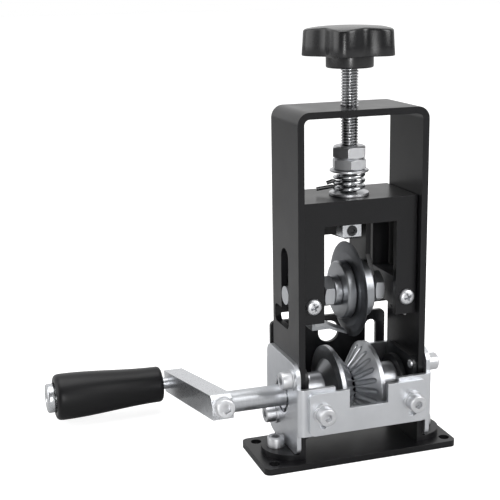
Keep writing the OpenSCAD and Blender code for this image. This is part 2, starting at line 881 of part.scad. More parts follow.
module feed_wheel_left() {
    color("#8b8d91") at_frame() mirror([1, 0, 0]) difference() {
        turned_x(shaft_y, shaft_z) polygon([
            [shaft_r + seat_gap, seat_gap],
            [groove_r, seat_gap],
            [groove_r, groove_flat_x],
            [wheel_r, groove_top_x],
            [wheel_r, wheel_back_x],
            [flare_r, wheel_back_x],
            [left_hub_r, flare_x],
            [left_hub_r, left_hub_x],
            [shaft_r + seat_gap, left_hub_x]]);
        gashes();
        hub_screw_hole((flare_x + left_hub_x) / 2);
    }
}

module hub_set_screw(x, hub_r) {
    translate([x, shaft_y, shaft_z]) rotate([180, 0, 0]) difference() {
        translate([0, 0, shaft_r + seat_gap]) cylinder(h = hub_r - shaft_r - over / 2, r = screw_r);
        hex_z(hub_r - screw_r, hub_r + over, socket_af * 0.6);
    }
}

module hub_set_screws() {
    color("#2a2a2c") at_frame() {
        hub_set_screw((wheel_back_x + right_hub_x) / 2, right_hub_r);
        hub_set_screw(-(flare_x + left_hub_x) / 2, left_hub_r);
    }
}

module spacer_ring(x0, x1) {
    turned_x(shaft_y, shaft_z) panel([shaft_r + seat_gap, x0], [spacer_r, x1]);
}

module spacer_rings() {
    color("#1e1e20") at_frame() {
        spacer_ring(right_hub_x + seat_gap, wall_in - retainer_t - free_gap * 3);
        mirror([1, 0, 0]) spacer_ring(left_hub_x + seat_gap, wall_in - retainer_t - free_gap);
    }
}

// Crank arm and grip

module crank_arm() {
    color("#c3c5c9") at_frame() at_arm() difference() {
        slab_x(arm_out_x, arm_in_x) polygon([
            [-arm_front, -arm_h / 2],
            [arm_back, -arm_h / 2],
            [arm_back, arm_h / 2],
            [arm_corner - arm_front, arm_h / 2],
            [-arm_front, arm_h / 2 - arm_corner]]);
        round_x(arm_out_x - over, arm_in_x + over, shaft_end_r + seat_gap, 0, 0);
        round_x(arm_out_x - over, arm_in_x + over, spindle_r + seat_gap, throw, 0);
        round_y(-arm_front - over, 0, arm_screw_r + seat_gap, (arm_in_x + arm_out_x) / 2, 0);
    }
}

module arm_clamp_screw() {
    color("#c9cacc") at_frame() at_arm()
        translate([(arm_in_x + arm_out_x) / 2, -arm_front - small_washer_t, 0]) rotate([quarter, 0, 0])
            difference() {
                union() {
                    translate([0, 0, -arm_front - small_washer_t + shaft_end_r + seat_gap])
                        cylinder(h = arm_front + small_washer_t - shaft_end_r, r = arm_screw_r);
                    cylinder(h = arm_head_h, r = arm_head_r);
                }
                hex_z(arm_head_h - socket_h, arm_head_h + over, arm_socket_af);
            }
}

module arm_clamp_washer() {
    color("#b5b7ba") at_frame() at_arm()
        translate([(arm_in_x + arm_out_x) / 2, -arm_front, 0]) rotate([quarter, 0, 0])
            washer(small_washer_r, arm_screw_r + seat_gap, small_washer_t);
}

module grip_spindle() {
    color("#c9cacc") at_frame() at_arm()
        round_x(grip_out_x - over, arm_in_x - over / 4, spindle_r, throw, 0);
}

module grip() {
    edge = spindle_r / 2;
    color("#141416") at_frame() at_arm() translate([0, throw, 0]) rotate([0, -quarter, 0])
        rotate_extrude() polygon([
            [spindle_r + run_gap, -grip_in_x],
            [grip_in_r - edge, -grip_in_x],
            [grip_in_r - edge * 0.3, edge * 0.3 - grip_in_x],
            [grip_in_r, edge - grip_in_x],
            [grip_in_r * 0.55 + grip_out_r * 0.45, -grip_in_x * 0.7 - grip_out_x * 0.3],
            [grip_in_r * 0.2 + grip_out_r * 0.8, -grip_in_x * 0.4 - grip_out_x * 0.6],
            [grip_out_r, -grip_out_x - edge * 2],
            [grip_out_r - edge * 0.25, -grip_out_x - edge * 0.4],
            [grip_out_r - edge, -grip_out_x],
            [spindle_r + run_gap, -grip_out_x]]);
}

module grip_end_cap() {
    edge = (grip_out_x - cap_out_x) / 5;
    color("#cfd0d2") at_frame() at_arm() translate([0, throw, 0]) rotate([0, -quarter, 0])
        rotate_extrude() polygon([
            [0, over + seat_gap - grip_out_x],
            [spindle_r + seat_gap, over + seat_gap - grip_out_x],
            [spindle_r + seat_gap, free_gap - grip_out_x],
            [cap_r - edge * 2, free_gap - grip_out_x],
            [cap_r, over + edge - grip_out_x],
            [cap_r, -cap_out_x - edge],
            [cap_r - edge, -cap_out_x],
            [0, -cap_out_x]]);
}

// Carriage and its guides

// The rear window's outline, with a tab between its two parts for the blade's arm
module rear_window() {
    polygon([
        [-rear_leg_x, 0],
        [rear_leg_x, 0],
        [rear_leg_x, window_z],
        [hanger_out, window_z],
        [hanger_out, hanger_neck_z],
        [hanger_x, hanger_neck_z],
        [hanger_x, rear_step_z],
        [rear_fall_x1, rear_step_z],
        [rear_fall_x0, rear_window_z],
        [-rear_leg_x, rear_window_z]]);
}

module carriage() {
    color("#1d1d1f") at_frame() difference() {
        block([-carriage_x, carriage_front_y, rear_leg_z], [carriage_x, carriage_back_y, carriage_top_z]);
        block([-carriage_x - over, guide_front_y, 0], [carriage_x + over, guide_back_y, carriage_low_z]);
        block([-carriage_x - over, carriage_front_y - over, 0],
            [carriage_x + over, guide_front_y, front_leg_z]);
        block([-window_x, carriage_front_y - over, 0], [window_x, guide_front_y + over, window_z]);
        slab_y(guide_back_y - over, carriage_back_y + over) rear_window();
        round_z(carriage_low_z - over, carriage_top_z + over, rod_r + free_gap, 0, 0);
        mirrored() round_y(carriage_front_y - over, guide_front_y + over,
            screw_r + seat_gap, leg_screw_x, leg_screw_z);
    }
}

module carriage_screws() {
    shank_end = slot_front_y - over;
    color("#cfd0d2") at_frame() mirrored() translate([leg_screw_x, carriage_front_y, leg_screw_z])
        rotate([quarter, 0, 0]) union() {
            translate([0, 0, carriage_front_y - shank_end])
                cylinder(h = shank_end - carriage_front_y + over, r = screw_r);
            rotate_extrude() polygon([
                [0, 0],
                [cross_head_r, 0],
                [cross_head_r, screw_r * 0.45],
                [screw_r * 1.1, screw_r * 0.9],
                [0, screw_r]]);
        }
}

module guide_block() {
    difference() {
        block([guide_in_x, guide_front_y, guide_low_z], [carriage_x, guide_back_y, guide_high_z]);
        round_x(guide_in_x + screw_r * 2, carriage_x + over, guide_pin_r + seat_gap, slot_mid_y, axle_z);
        round_y(guide_front_y - over, slot_front_y - over / 2, screw_r + seat_gap, leg_screw_x, leg_screw_z);
    }
}

module guide_block_left() {
    color("#232326") at_frame() mirror([1, 0, 0]) difference() {
        guide_block();
        finger_screw_hole();
    }
}

module guide_block_right() {
    color("#232326") at_frame() guide_block();
}

module guide_pins() {
    color("#b0b2b5") at_frame() mirrored()
        round_x(guide_in_x + screw_r * 2 + seat_gap, wall_out - seat_gap, guide_pin_r, slot_mid_y, axle_z);
}

// The bent finger that keeps the wire beside the blade

module finger_screw_hole() {
    round_z(guide_low_z - over, guide_low_z + screw_r, screw_r + seat_gap,
        (guide_in_x + carriage_x) / 2, slot_mid_y);
}

module wire_finger() {
    top = guide_low_z - seat_gap;
    low = finger_low_z;
    tip = low - finger_drop;
    end_x = carriage_x - over;
    wall_x = guide_in_x + finger_t;
    taper_x = finger_start_x - finger_w / 2;
    color("#a4a6a9") at_frame() mirror([1, 0, 0]) difference() {
        slab_y(-finger_w, finger_w) polygon([
            [end_x, top],
            [end_x, top - finger_t],
            [wall_x, top - finger_t],
            [wall_x, low],
            [finger_start_x, low],
            [blade_t, tip],
            [blade_t, tip + finger_t],
            [finger_start_x, low + finger_t],
            [guide_in_x, low + finger_t],
            [guide_in_x, top]]);
        for (side = [-1, 1]) slab_z(tip - over, low + finger_t + over) polygon([
            [taper_x, side * finger_w],
            [taper_x, side * (finger_w + over)],
            [0, side * (finger_w + over)],
            [0, side * finger_w / 2]]);
        finger_screw_hole();
    }
}

// Blade and what carries it

// The outline of the arm that holds the blade, given in Y and Z
module hanger_outline() {
    low_front = axle_y - hanger_r;
    low_back = axle_y + hanger_r;
    back = guide_back_y - seat_gap;
    top = carriage_low_z - seat_gap;
    polygon([
        [low_front, axle_z],
        [low_back, axle_z],
        [low_back, hanger_waist_z],
        [back, hanger_neck_z],
        [back, top],
        [hanger_front_y, top],
        [hanger_front_y, hanger_neck_z],
        [low_front, hanger_waist_z]]);
    intersection() {
        translate([axle_y, axle_z]) circle(r = hanger_r);
        panel([low_front - over, axle_z - hanger_r - over], [low_back + over, axle_z]);
    }
}

module blade_hanger() {
    color("#1d1d1f") at_frame() difference() {
        union() {
            slab_x(hanger_x, hanger_out) hanger_outline();
            block([hanger_x, hanger_front_y, carriage_low_z - hanger_t],
                [hanger_x + hanger_reach, guide_back_y - seat_gap, carriage_low_z - seat_gap]);
        }
        round_x(hanger_x - over, hanger_out + over, rod_r + seat_gap, axle_y, axle_z);
    }
}

module blade_bolt() {
    color("#a8aaad") at_frame() union() {
        round_x(sleeve_x - over, bolt_end_x, rod_r, axle_y, axle_z);
        translate([sleeve_x, axle_y, axle_z]) rotate([0, -quarter, 0]) rotate(quarter - bolt_turn)
            hex_head(bolt_head_h, bolt_af);
    }
}

// A hexagon with its corners turned off at the far end
module hex_head(h, af) {
    intersection() {
        hex_z(0, h, af);
        rotate_extrude() polygon([
            [0, 0],
            [af, 0],
            [af, h - af * 0.29],
            [af * 0.47, h],
            [0, h]]);
    }
}

// A nut with its corners turned off at both ends
module hex_nut(h, af, bore) {
    difference() {
        intersection() {
            hex_z(0, h, af);
            rotate_extrude() polygon([
                [0, 0],
                [af * 0.5, 0],
                [af * 0.6, af * 0.08],
                [af * 0.6, h - af * 0.08],
                [af * 0.5, h],
                [0, h]]);
        }
        translate([0, 0, -over]) cylinder(h = h + over * 2, r = bore);
    }
}

module blade_nut() {
    color("#a8aaad") at_frame() translate([hanger_out + seat_gap, axle_y, axle_z]) rotate([0, quarter, 0])
        rotate(quarter + bolt_turn) hex_nut(bolt_nut_h, bolt_af, rod_r + seat_gap);
}

module blade_sleeve() {
    color("#b8babd") at_frame() turned_x(axle_y, axle_z) polygon([
        [rod_r + seat_gap, sleeve_x],
        [sleeve_flange_r, sleeve_x],
        [sleeve_flange_r, sleeve_flange_end],
        [sleeve_r, sleeve_flange_end],
        [sleeve_r, hanger_x],
        [rod_r + seat_gap, hanger_x]]);
}

module blade_disc() {
    half = blade_t / 2;
    mid_r = (bevel_r + blade_r * 2) / 3;
    color("#77797d") at_frame() turned_x(axle_y, axle_z) polygon([
        [sleeve_r + run_gap, -half],
        [bevel_r, -half],
        [mid_r, -half * 0.5],
        [blade_r, -half * 0.06],
        [blade_r, half * 0.06],
        [mid_r, half * 0.5],
        [bevel_r, half],
        [sleeve_r + run_gap, half]]);
}

module blade_collar(x0, x1, r) {
    edge = blade_t / 3;
    turned_x(axle_y, axle_z) polygon([
        [sleeve_r + run_gap, x0],
        [r - edge, x0],
        [r, x0 + edge],
        [r, x1 - edge],
        [r - edge, x1],
        [sleeve_r + run_gap, x1]]);
}

module blade_collar_left() {
    color("#8d8f92") at_frame() blade_collar(left_collar_x, -blade_t / 2 - seat_gap, left_collar_r);
}

module blade_collar_right() {
    color("#8d8f92") at_frame() blade_collar(blade_t / 2 + seat_gap, right_collar_x, right_collar_r);
}

// Adjuster

module threaded_rod() {
    color("#b4b6b9") at_frame() difference() {
        union() {
            round_z(carriage_low_z - free_gap, rod_top_z, rod_r, 0, 0);
            round_z(rod_low_z, carriage_top_z, rod_end_r, 0, 0);
        }
        translate([0, 0, pin_z]) rotate([0, quarter, pin_turn])
            translate([0, 0, -rod_r * 2]) cylinder(h = rod_r * 4, r = pin_leg + pin_leg / 4);
    }
}

module rod_end_block() {
    top = carriage_low_z - free_gap - washer_t - seat_gap;
    color("#d3d4d6") at_frame() difference() {
        block([-block_x, -block_y, block_low_z], [block_x, block_y, top]);
        round_z(block_low_z - over, top + over, rod_end_r + seat_gap, 0, 0);
        round_y(-block_y - over, 0, set_screw_r + seat_gap, 0, set_screw_z);
    }
}

module rod_end_flange() {
    top = carriage_low_z - free_gap;
    color("#1e1e20") at_frame() translate([0, 0, top - washer_t])
        washer(rod_flange_r, rod_end_r + seat_gap, washer_t - seat_gap);
}

module block_set_screw() {
    color("#232325") at_frame() difference() {
        round_y(-block_y - seat_gap * 10, -rod_end_r - seat_gap, set_screw_r, 0, set_screw_z);
        translate([0, over / 2 - block_y, set_screw_z]) rotate([quarter, 0, 0])
            hex_z(0, over * 2, socket_af * 0.7);
    }
}

module spring_washer() {
    color("#c9cacc") at_frame() translate([0, 0, carriage_top_z + seat_gap])
        washer(washer_r, rod_r + seat_gap * 3, washer_t - seat_gap);
}

// The spring is one tube wound from a formula
spring_rings = round(spring_turns * spring_steps);

function wire_at(t) = [
    spring_r * cos(spring_phase + t * 360),
    spring_r * sin(spring_phase + t * 360),
    spring_low_z + spring_wire / 2 + seat_gap + spring_pitch * t];

function wire_along(t) =
    let (s = 2 * PI * spring_r, n = norm([s, spring_pitch]))
    [-s * sin(spring_phase + t * 360), s * cos(spring_phase + t * 360), spring_pitch] / n;

function wire_out(t) = [cos(spring_phase + t * 360), sin(spring_phase + t * 360), 0];

// The straight end of the tube, one wire thickness long
function ring_centre(i) =
    i == 0 ? wire_at(0) - wire_along(0) * spring_wire
    : i == spring_rings + 2 ? wire_at(spring_turns) + wire_along(spring_turns) * spring_wire
    : wire_at((i - 1) / spring_steps);

function ring_turn(i) = min(max((i - 1) / spring_steps, 0), spring_turns);

function ring_points(i) =
    let (t = ring_turn(i), c = ring_centre(i), u = wire_out(t), w = cross(wire_along(t), u))
    [for (k = [0 : spring_sides - 1])
        let (a = k * 360 / spring_sides) c + (u * cos(a) + w * sin(a)) * spring_wire / 2];

spring_points = [for (i = [0 : spring_rings + 2]) each ring_points(i)];

function side_face(i, k) =
    let (a = i * spring_sides + k, b = i * spring_sides + (k + 1) % spring_sides)
    [b, a, a + spring_sides, b + spring_sides];

least_gap = min([for (i = [0 : spring_rings + 2 - spring_steps / 2])
    for (j = [i + spring_steps / 2 : spring_rings + 2])
        norm(ring_centre(i) - ring_centre(j))]) - spring_wire;
echo(least_gap_of_the_spring = least_gap);

module spring() {
    last = (spring_rings + 2) * spring_sides;
    color("#b9bbbe") at_frame() polyhedron(points = spring_points, convexity = 6, faces = concat(
        [[for (k = [0 : spring_sides - 1]) k]],
        [for (i = [0 : spring_rings + 1]) for (k = [0 : spring_sides - 1]) side_face(i, k)],
        [[for (k = [0 : spring_sides - 1]) last + spring_sides - 1 - k]]));
}

module jam_nuts() {
    color("#c3c5c8") at_frame() {
        translate([0, 0, jam_low_z]) rotate(jam_low_turn)
            hex_nut(jam_low_h, jam_af, rod_r + seat_gap);
        translate([0, 0, jam_high_z]) rotate(jam_high_turn)
            hex_nut(jam_high_h, jam_af, rod_r + seat_gap);
    }
}

// The pin's closed end stays in the mouth of the rod's hole, clear of the spring
module pin_leg_bar(length, side, droop) {
    bend = spring_r + spring_wire;
    translate([0, side * pin_leg * 0.45, 0]) rotate([0, quarter, 0])
        translate([0, 0, -rod_r]) cylinder(h = bend + rod_r + pin_leg * 0.2, r = pin_leg / 2);
    translate([bend, side * pin_leg * 0.45, 0]) rotate([0, quarter + droop, side * 14])
        translate([0, 0, -pin_leg * 0.2]) cylinder(h = length - bend, r = pin_leg * 0.49);
}

module split_pin() {
    color("#1a1a1c") at_frame() translate([0, 0, pin_z]) rotate([0, 0, pin_turn]) union() {
        pin_leg_bar(pin_long, 1, 10);
        pin_leg_bar(pin_short, -1, -4);
        translate([-rod_r, 0, -pin_leg * 0.7]) cylinder(h = pin_leg * 1.4, r = pin_leg * 0.75);
    }
}

module knob_outline() {
    circle(r = valley_r);
    for (k = [0 : lobe_count - 1]) rotate(k * 360 / lobe_count + lobe_turn)
        translate([knob_r - lobe_r, 0]) circle(r = lobe_r);
}

module adjuster_knob() {
    dome = knob_top_z - knob_high_z;
    color("#161618") at_frame() difference() {
        union() {
            intersection() {
                slab_z(knob_low_z, knob_top_z + over) knob_outline();
                rotate_extrude() polygon([
                    [0, knob_low_z - over],
                    [knob_r + over, knob_low_z - over],
                    [knob_r - knob_edge, knob_high_z - knob_edge],
                    [knob_r - knob_edge * 2, knob_high_z],
                    [knob_r * 0.7, knob_top_z - dome * 0.49],
                    [knob_r * 0.35, knob_top_z - dome * 0.12],
                    [0, knob_top_z]]);
            }
            round_z(knob_hub_z, knob_low_z + over, knob_hub_r, 0, 0);
        }
        round_z(knob_hub_z - over, rod_top_z + seat_gap, rod_r + seat_gap, 0, 0);
    }
}

base_plate();
main_frame();
foot_screws();
side_bracket_left();
side_bracket_right();
bracket_screws();
bracket_washers();
front_plate();
front_plate_screws();
front_plate_washers();
rear_guide_plate();
rear_plate_screws();
rear_plate_washers();
bearing_retainer_left();
bearing_retainer_right();
bearing_outer_left();
bearing_outer_right();
bearing_balls_left();
bearing_balls_right();
bearing_inner_left();
bearing_inner_right();
crank_shaft();
feed_wheel_left();
feed_wheel_right();
hub_set_screws();
spacer_rings();
crank_arm();
arm_clamp_screw();
arm_clamp_washer();
grip_spindle();
grip();
grip_end_cap();
carriage();
carriage_screws();
guide_block_left();
guide_block_right();
guide_pins();
wire_finger();
blade_hanger();
blade_bolt();
blade_nut();
blade_sleeve();
blade_disc();
blade_collar_left();
blade_collar_right();
threaded_rod();
rod_end_block();
rod_end_flange();
block_set_screw();
spring_washer();
spring();
jam_nuts();
split_pin();
adjuster_knob();
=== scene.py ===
# %% [markdown]
# # A hand crank wire stripper, dressed for its photograph
# The solids come from CAD and stay as they are. This lesson gives them their finishes, and
# models again the few pieces whose small forms CAD leaves plain: the threaded rod, the nuts, the
# cross-head and cap screws, the split pin, the star knob, the grip and the spring.

# %% Load the frame
import json
import math
import bpy
from mathutils import Matrix, Vector
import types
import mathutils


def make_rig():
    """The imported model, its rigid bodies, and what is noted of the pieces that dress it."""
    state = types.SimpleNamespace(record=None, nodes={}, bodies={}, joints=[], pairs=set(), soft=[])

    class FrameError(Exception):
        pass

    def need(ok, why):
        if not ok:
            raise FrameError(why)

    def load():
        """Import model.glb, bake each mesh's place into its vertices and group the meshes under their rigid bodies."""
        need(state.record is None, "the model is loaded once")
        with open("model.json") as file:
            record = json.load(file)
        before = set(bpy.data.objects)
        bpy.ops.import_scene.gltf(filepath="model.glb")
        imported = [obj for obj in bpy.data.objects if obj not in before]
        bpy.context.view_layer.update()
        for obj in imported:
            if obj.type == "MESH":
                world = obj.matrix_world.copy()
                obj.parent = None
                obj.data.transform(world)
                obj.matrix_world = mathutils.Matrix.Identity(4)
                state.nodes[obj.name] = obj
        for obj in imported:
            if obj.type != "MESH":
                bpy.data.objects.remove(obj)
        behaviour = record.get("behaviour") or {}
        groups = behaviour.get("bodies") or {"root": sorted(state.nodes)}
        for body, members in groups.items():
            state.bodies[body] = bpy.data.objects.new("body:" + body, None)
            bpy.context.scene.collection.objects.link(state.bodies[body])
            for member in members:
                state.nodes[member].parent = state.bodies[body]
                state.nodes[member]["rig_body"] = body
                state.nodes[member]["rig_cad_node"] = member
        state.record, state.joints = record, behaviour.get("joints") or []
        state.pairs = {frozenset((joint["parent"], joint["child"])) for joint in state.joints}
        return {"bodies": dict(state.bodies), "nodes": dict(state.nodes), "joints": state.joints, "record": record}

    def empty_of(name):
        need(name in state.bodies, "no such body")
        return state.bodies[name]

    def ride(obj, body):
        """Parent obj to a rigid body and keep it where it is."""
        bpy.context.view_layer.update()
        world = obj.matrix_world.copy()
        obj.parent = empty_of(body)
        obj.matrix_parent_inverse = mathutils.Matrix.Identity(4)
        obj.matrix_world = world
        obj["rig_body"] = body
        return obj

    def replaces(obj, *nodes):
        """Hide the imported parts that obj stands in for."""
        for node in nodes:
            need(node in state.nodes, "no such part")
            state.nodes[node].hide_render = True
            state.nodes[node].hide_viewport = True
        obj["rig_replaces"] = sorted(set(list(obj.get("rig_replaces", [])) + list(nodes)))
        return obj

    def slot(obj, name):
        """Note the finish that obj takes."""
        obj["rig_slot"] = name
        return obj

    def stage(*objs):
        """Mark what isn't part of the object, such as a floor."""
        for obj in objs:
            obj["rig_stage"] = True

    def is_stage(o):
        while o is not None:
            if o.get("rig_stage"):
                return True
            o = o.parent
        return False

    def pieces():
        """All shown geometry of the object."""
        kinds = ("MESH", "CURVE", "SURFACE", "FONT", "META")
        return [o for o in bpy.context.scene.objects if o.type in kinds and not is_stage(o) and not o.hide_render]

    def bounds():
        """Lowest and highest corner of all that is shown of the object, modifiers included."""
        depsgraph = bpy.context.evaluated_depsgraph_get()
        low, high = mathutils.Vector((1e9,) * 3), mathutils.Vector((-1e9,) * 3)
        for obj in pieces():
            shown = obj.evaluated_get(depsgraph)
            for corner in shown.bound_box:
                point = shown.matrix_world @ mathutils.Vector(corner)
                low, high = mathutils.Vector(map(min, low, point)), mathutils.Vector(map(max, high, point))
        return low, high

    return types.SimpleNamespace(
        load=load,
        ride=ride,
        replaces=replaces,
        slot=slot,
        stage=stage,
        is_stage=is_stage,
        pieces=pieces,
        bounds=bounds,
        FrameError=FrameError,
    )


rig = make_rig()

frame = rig.load()
nodes = frame["nodes"]
cad_box = [list(corner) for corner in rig.bounds()]
print("CAD nodes:", len(nodes), "box:", cad_box)

# %% [markdown]
# ## Sizes
# Everything is in metres here, while the tool's own sizes are easier to read in millimetres.
# One small number turns one into the other. The rod's axis stands 2.8 mm behind the middle of the
# base plate, so that number is kept as well.

# %% Millimetres and the rod's axis
MM = 0.001
ROD_Y = 2.8


def place(x, y, z):
    """A point given in millimetres from the rod's axis, as a vector in metres."""
    return Vector((x * MM, (y + ROD_Y) * MM, z * MM))


print("rod axis at", place(0, 0, 0))

# %% [markdown]
# ## Colours and nodes
# Colours are picked as sRGB hex values, but a shader wants linear light, so one function
# turns them. Another adds a node with its settings and its links in one call, which keeps each
# material short enough to read. Three more hold what every finish here shares: a noise of a real
# size, a mix of two colours, and a surface's roughness, grain and bright edges.

# %% Colour and node helpers
def tone(hex_text):
    """An sRGB hex colour in linear light, with full alpha."""
    values = [int(hex_text[i:i + 2], 16) / 255 for i in (1, 3, 5)]
    linear = [v / 12.92 if v <= 0.04045 else ((v + 0.055) / 1.055) ** 2.4 for v in values]
    return (*linear, 1.0)


def add(tree, kind, sockets=None, **settings):
    """A new node. A socket given as a value is linked, and anything else is set."""
    node = tree.nodes.new(kind)
    for name, value in settings.items():
        setattr(node, name, value)
    for name, value in (sockets or {}).items():
        if isinstance(value, bpy.types.NodeSocket):
            tree.links.new(value, node.inputs[name])
        else:
            node.inputs[name].default_value = value
    return node


def start_material(name):
    """A material with its shader, and the object's own coordinates to lay patterns on."""
    material = bpy.data.materials.new(name)
    material.use_nodes = True
    tree = material.node_tree
    tree.nodes.clear()
    shader = add(tree, "ShaderNodeBsdfPrincipled")
    add(tree, "ShaderNodeOutputMaterial", {"Surface": shader.outputs["BSDF"]})
    where = add(tree, "ShaderNodeTexCoord").outputs["Object"]
    return material, tree, shader, where


def noise(tree, where, size_mm, detail):
    """A noise whose marks are about size_mm across."""
    sockets = {"Vector": where, "Scale": 1 / (size_mm * MM), "Detail": detail}
    return add(tree, "ShaderNodeTexNoise", sockets).outputs["Fac"]


def mixed(tree, share, first, second):
    """The first colour where share is 0, and the second where it is 1."""
    sockets = {"Factor": share, "A": first, "B": second}
    return add(tree, "ShaderNodeMix", sockets, data_type="RGBA").outputs["Result"]


def surface(tree, shader, colour, patches, roughness, spread, grain, depth_mm, strength, edge_mm):
    """Gives the shader a colour, roughness in patches, a grain, and edges that catch light."""
    tree.links.new(colour, shader.inputs["Base Color"])
    rough = add(tree, "ShaderNodeMapRange",
                {"Value": patches, "From Min": 0.3, "From Max": 0.7,
                 "To Min": roughness - spread, "To Max": roughness + spread})
    tree.links.new(rough.outputs["Result"], shader.inputs["Roughness"])
    edge = add(tree, "ShaderNodeBevel", {"Radius": edge_mm * MM}, samples=4)
    bump = add(tree, "ShaderNodeBump",
               {"Height": grain, "Distance": depth_mm * MM, "Strength": strength,
                "Normal": edge.outputs["Normal"]})
    tree.links.new(bump.outputs["Normal"], shader.inputs["Normal"])


print("mid grey in linear light:", tone("#808080"))

# %% [markdown]
# ## Metal finishes
# Sheet, bar and screws on such a tool are steel with a bright zinc plating, which the eye reads as
# a light grey metal with soft, slightly cloudy reflections. Turned pieces show fine rings about
# their axis, and hardened wheels are darker. They differ in colour, roughness and the size of the
# marks, so one recipe with those values serves them all: one noise varies the colour a little,
# another gives a fine grain, and a Bevel node catches light along the edges. An Ambient Occlusion node
# paints shade into the bottom of a gash or a thread, darkening the colour in the hollows.

# %% One recipe for bare and plated steel
def steel(name, light, dark, roughness, spread, cloud_mm, grain_mm, depth_mm, edge_mm,
          stretch=(1, 1, 1), painted_shade_mm=0, painted_shade=None):
    """A metal. Where another face is nearer than the given distance, painted shade darkens its colour."""
    material, tree, shader, where = start_material(name)
    shader.inputs["Metallic"].default_value = 1.0
    along_marks = add(tree, "ShaderNodeMapping", {"Vector": where, "Scale": stretch})
    cloud = noise(tree, along_marks.outputs["Vector"], cloud_mm, 4.0)
    grain = noise(tree, along_marks.outputs["Vector"], grain_mm, 2.0)
    colour = mixed(tree, cloud, tone(dark), tone(light))
    # Painted shade: where other faces are close, the colour darkens towards the given shade colour
    if painted_shade_mm:
        sky = add(tree, "ShaderNodeAmbientOcclusion", {"Distance": painted_shade_mm * MM}, samples=8)
        open_share = add(tree, "ShaderNodeMapRange",
                         {"Value": sky.outputs["AO"], "From Min": 0.5, "From Max": 0.88})
        colour = mixed(tree, open_share.outputs["Result"], tone(painted_shade), colour)
    surface(tree, shader, colour, grain, roughness, spread, grain, depth_mm, 0.4, edge_mm)
    return material


# Marks that run in rings about the X axis, where the crank's shaft and the blade's bolt lie
rings_about_x = (6, 1, 1)

# After the name come the light and the dark colour, the roughness and how far it strays, and in
# millimetres the size of the clouds and of the grain, the grain's depth and the edge's radius
zinc_sheet = steel("bright_zinc_plated_sheet_steel", "#d3d5d8", "#c2c4c8",
                   0.36, 0.05, 9, 0.5, 0.01, 0.3)
zinc_bar = steel("bright_zinc_plated_steel_bar", "#d8dadd", "#c6c8cc",
                 0.3, 0.05, 9, 0.5, 0.01, 0.35)
zinc_screw = steel("bright_zinc_plated_screw_steel", "#d6d7d9", "#bfc0c3",
                   0.4, 0.05, 2, 0.35, 0.008, 0.15)
bearing_steel = steel("ground_bearing_steel", "#c9cbce", "#b9bbbf",
                      0.2, 0.04, 3, 0.3, 0.004, 0.15)
turned_steel = steel("turned_bright_steel", "#c4c6c9", "#b2b4b8",
                     0.36, 0.06, 4, 0.25, 0.01, 0.2, rings_about_x)
# The wheels' gashes get a near-black painted shade in their hollows
wheel_steel = steel("machined_hardened_steel", "#b8babd", "#a4a6aa",
                    0.36, 0.06, 4, 0.3, 0.01, 0.15, painted_shade_mm=1.6, painted_shade="#0c0c0d")
blade_steel = steel("ground_tool_steel", "#6d6f73", "#5e6064",
                    0.38, 0.05, 5, 0.3, 0.005, 0.1)
collar_steel = steel("turned_grey_steel", "#a6a8ab", "#929498",
                     0.36, 0.05, 4, 0.25, 0.008, 0.2, rings_about_x)
finger_steel = steel("bare_spring_steel_strip", "#a2a4a7", "#8f9194",
                     0.38, 0.06, 4, 0.3, 0.01, 0.2)
# The thread's roots get a dark painted shade
rod_steel = steel("rolled_thread_steel", "#e4e5e7", "#d6d7d9",
                  0.3, 0.04, 3, 0.3, 0.004, 0.05, painted_shade_mm=0.8, painted_shade="#303134")
spring_steel = steel("zinc_plated_spring_wire", "#d2d4d6", "#bdbfc2",
                     0.24, 0.05, 2, 0.3, 0.004, 0.1)
cap_steel = steel("polished_steel_cap", "#c4c6c9", "#b6b8bb",
                  0.26, 0.04, 4, 0.4, 0.004, 0.3)
print("metals:", [m.name for m in bpy.data.materials if "steel" in m.name])

# %% [markdown]
# ## Black finishes
# The frame, base and carriage have a fine black powder coat: paint baked on as a powder, which
# keeps a slight orange-peel texture, drawn here at half a millimetre. Black oxide on small steel
# pieces is smoother and thinner. The knob and the grip are moulded plastic, smooth with a soft
# sheen. They are all dielectrics, so their colour is dark and the light comes from the gloss.

# %% One recipe for paint and plastic
black_cloud_mm = 14


def black(name, light, dark, roughness, spread, level, peel_mm, depth_mm, edge_mm):
    """A paint or a plastic, with the level of its gloss and the size of its orange peel."""
    material, tree, shader, where = start_material(name)
    shader.inputs["Specular IOR Level"].default_value = level
    cloud = noise(tree, where, black_cloud_mm, 3.0)
    peel = noise(tree, where, peel_mm, 2.0)
    colour = mixed(tree, cloud, tone(dark), tone(light))
    surface(tree, shader, colour, cloud, roughness, spread, peel, depth_mm, 0.5, edge_mm)
    return material


# After the name come the light and the dark colour, the roughness and how far it strays, the
# gloss, and in millimetres the size of the peel, its depth and the edge's radius
powder_coat = black("black_powder_coat", "#121214", "#0e0e10",
                    0.32, 0.03, 0.3, 0.5, 0.012, 0.3)
black_oxide = black("black_oxide_steel", "#202123", "#161719",
                    0.36, 0.05, 0.5, 0.6, 0.008, 0.2)
knob_plastic = black("moulded_phenolic_plastic", "#101012", "#0c0c0e",
                     0.27, 0.03, 0.5, 0.8, 0.006, 0.3)
grip_plastic = black("moulded_smooth_nylon", "#0e0e10", "#0a0a0c",
                     0.36, 0.04, 0.25, 0.6, 0.008, 0.3)
guide_plastic = black("machined_black_acetal", "#27272a", "#202022",
                      0.4, 0.05, 0.4, 0.5, 0.01, 0.3)
print("blacks:", powder_coat.name, black_oxide.name, knob_plastic.name)

# %% [markdown]
# ## Finishes on the CAD nodes
# A node whose shape is right keeps its mesh and only gets a material, by writing it into the
# slots of its object.

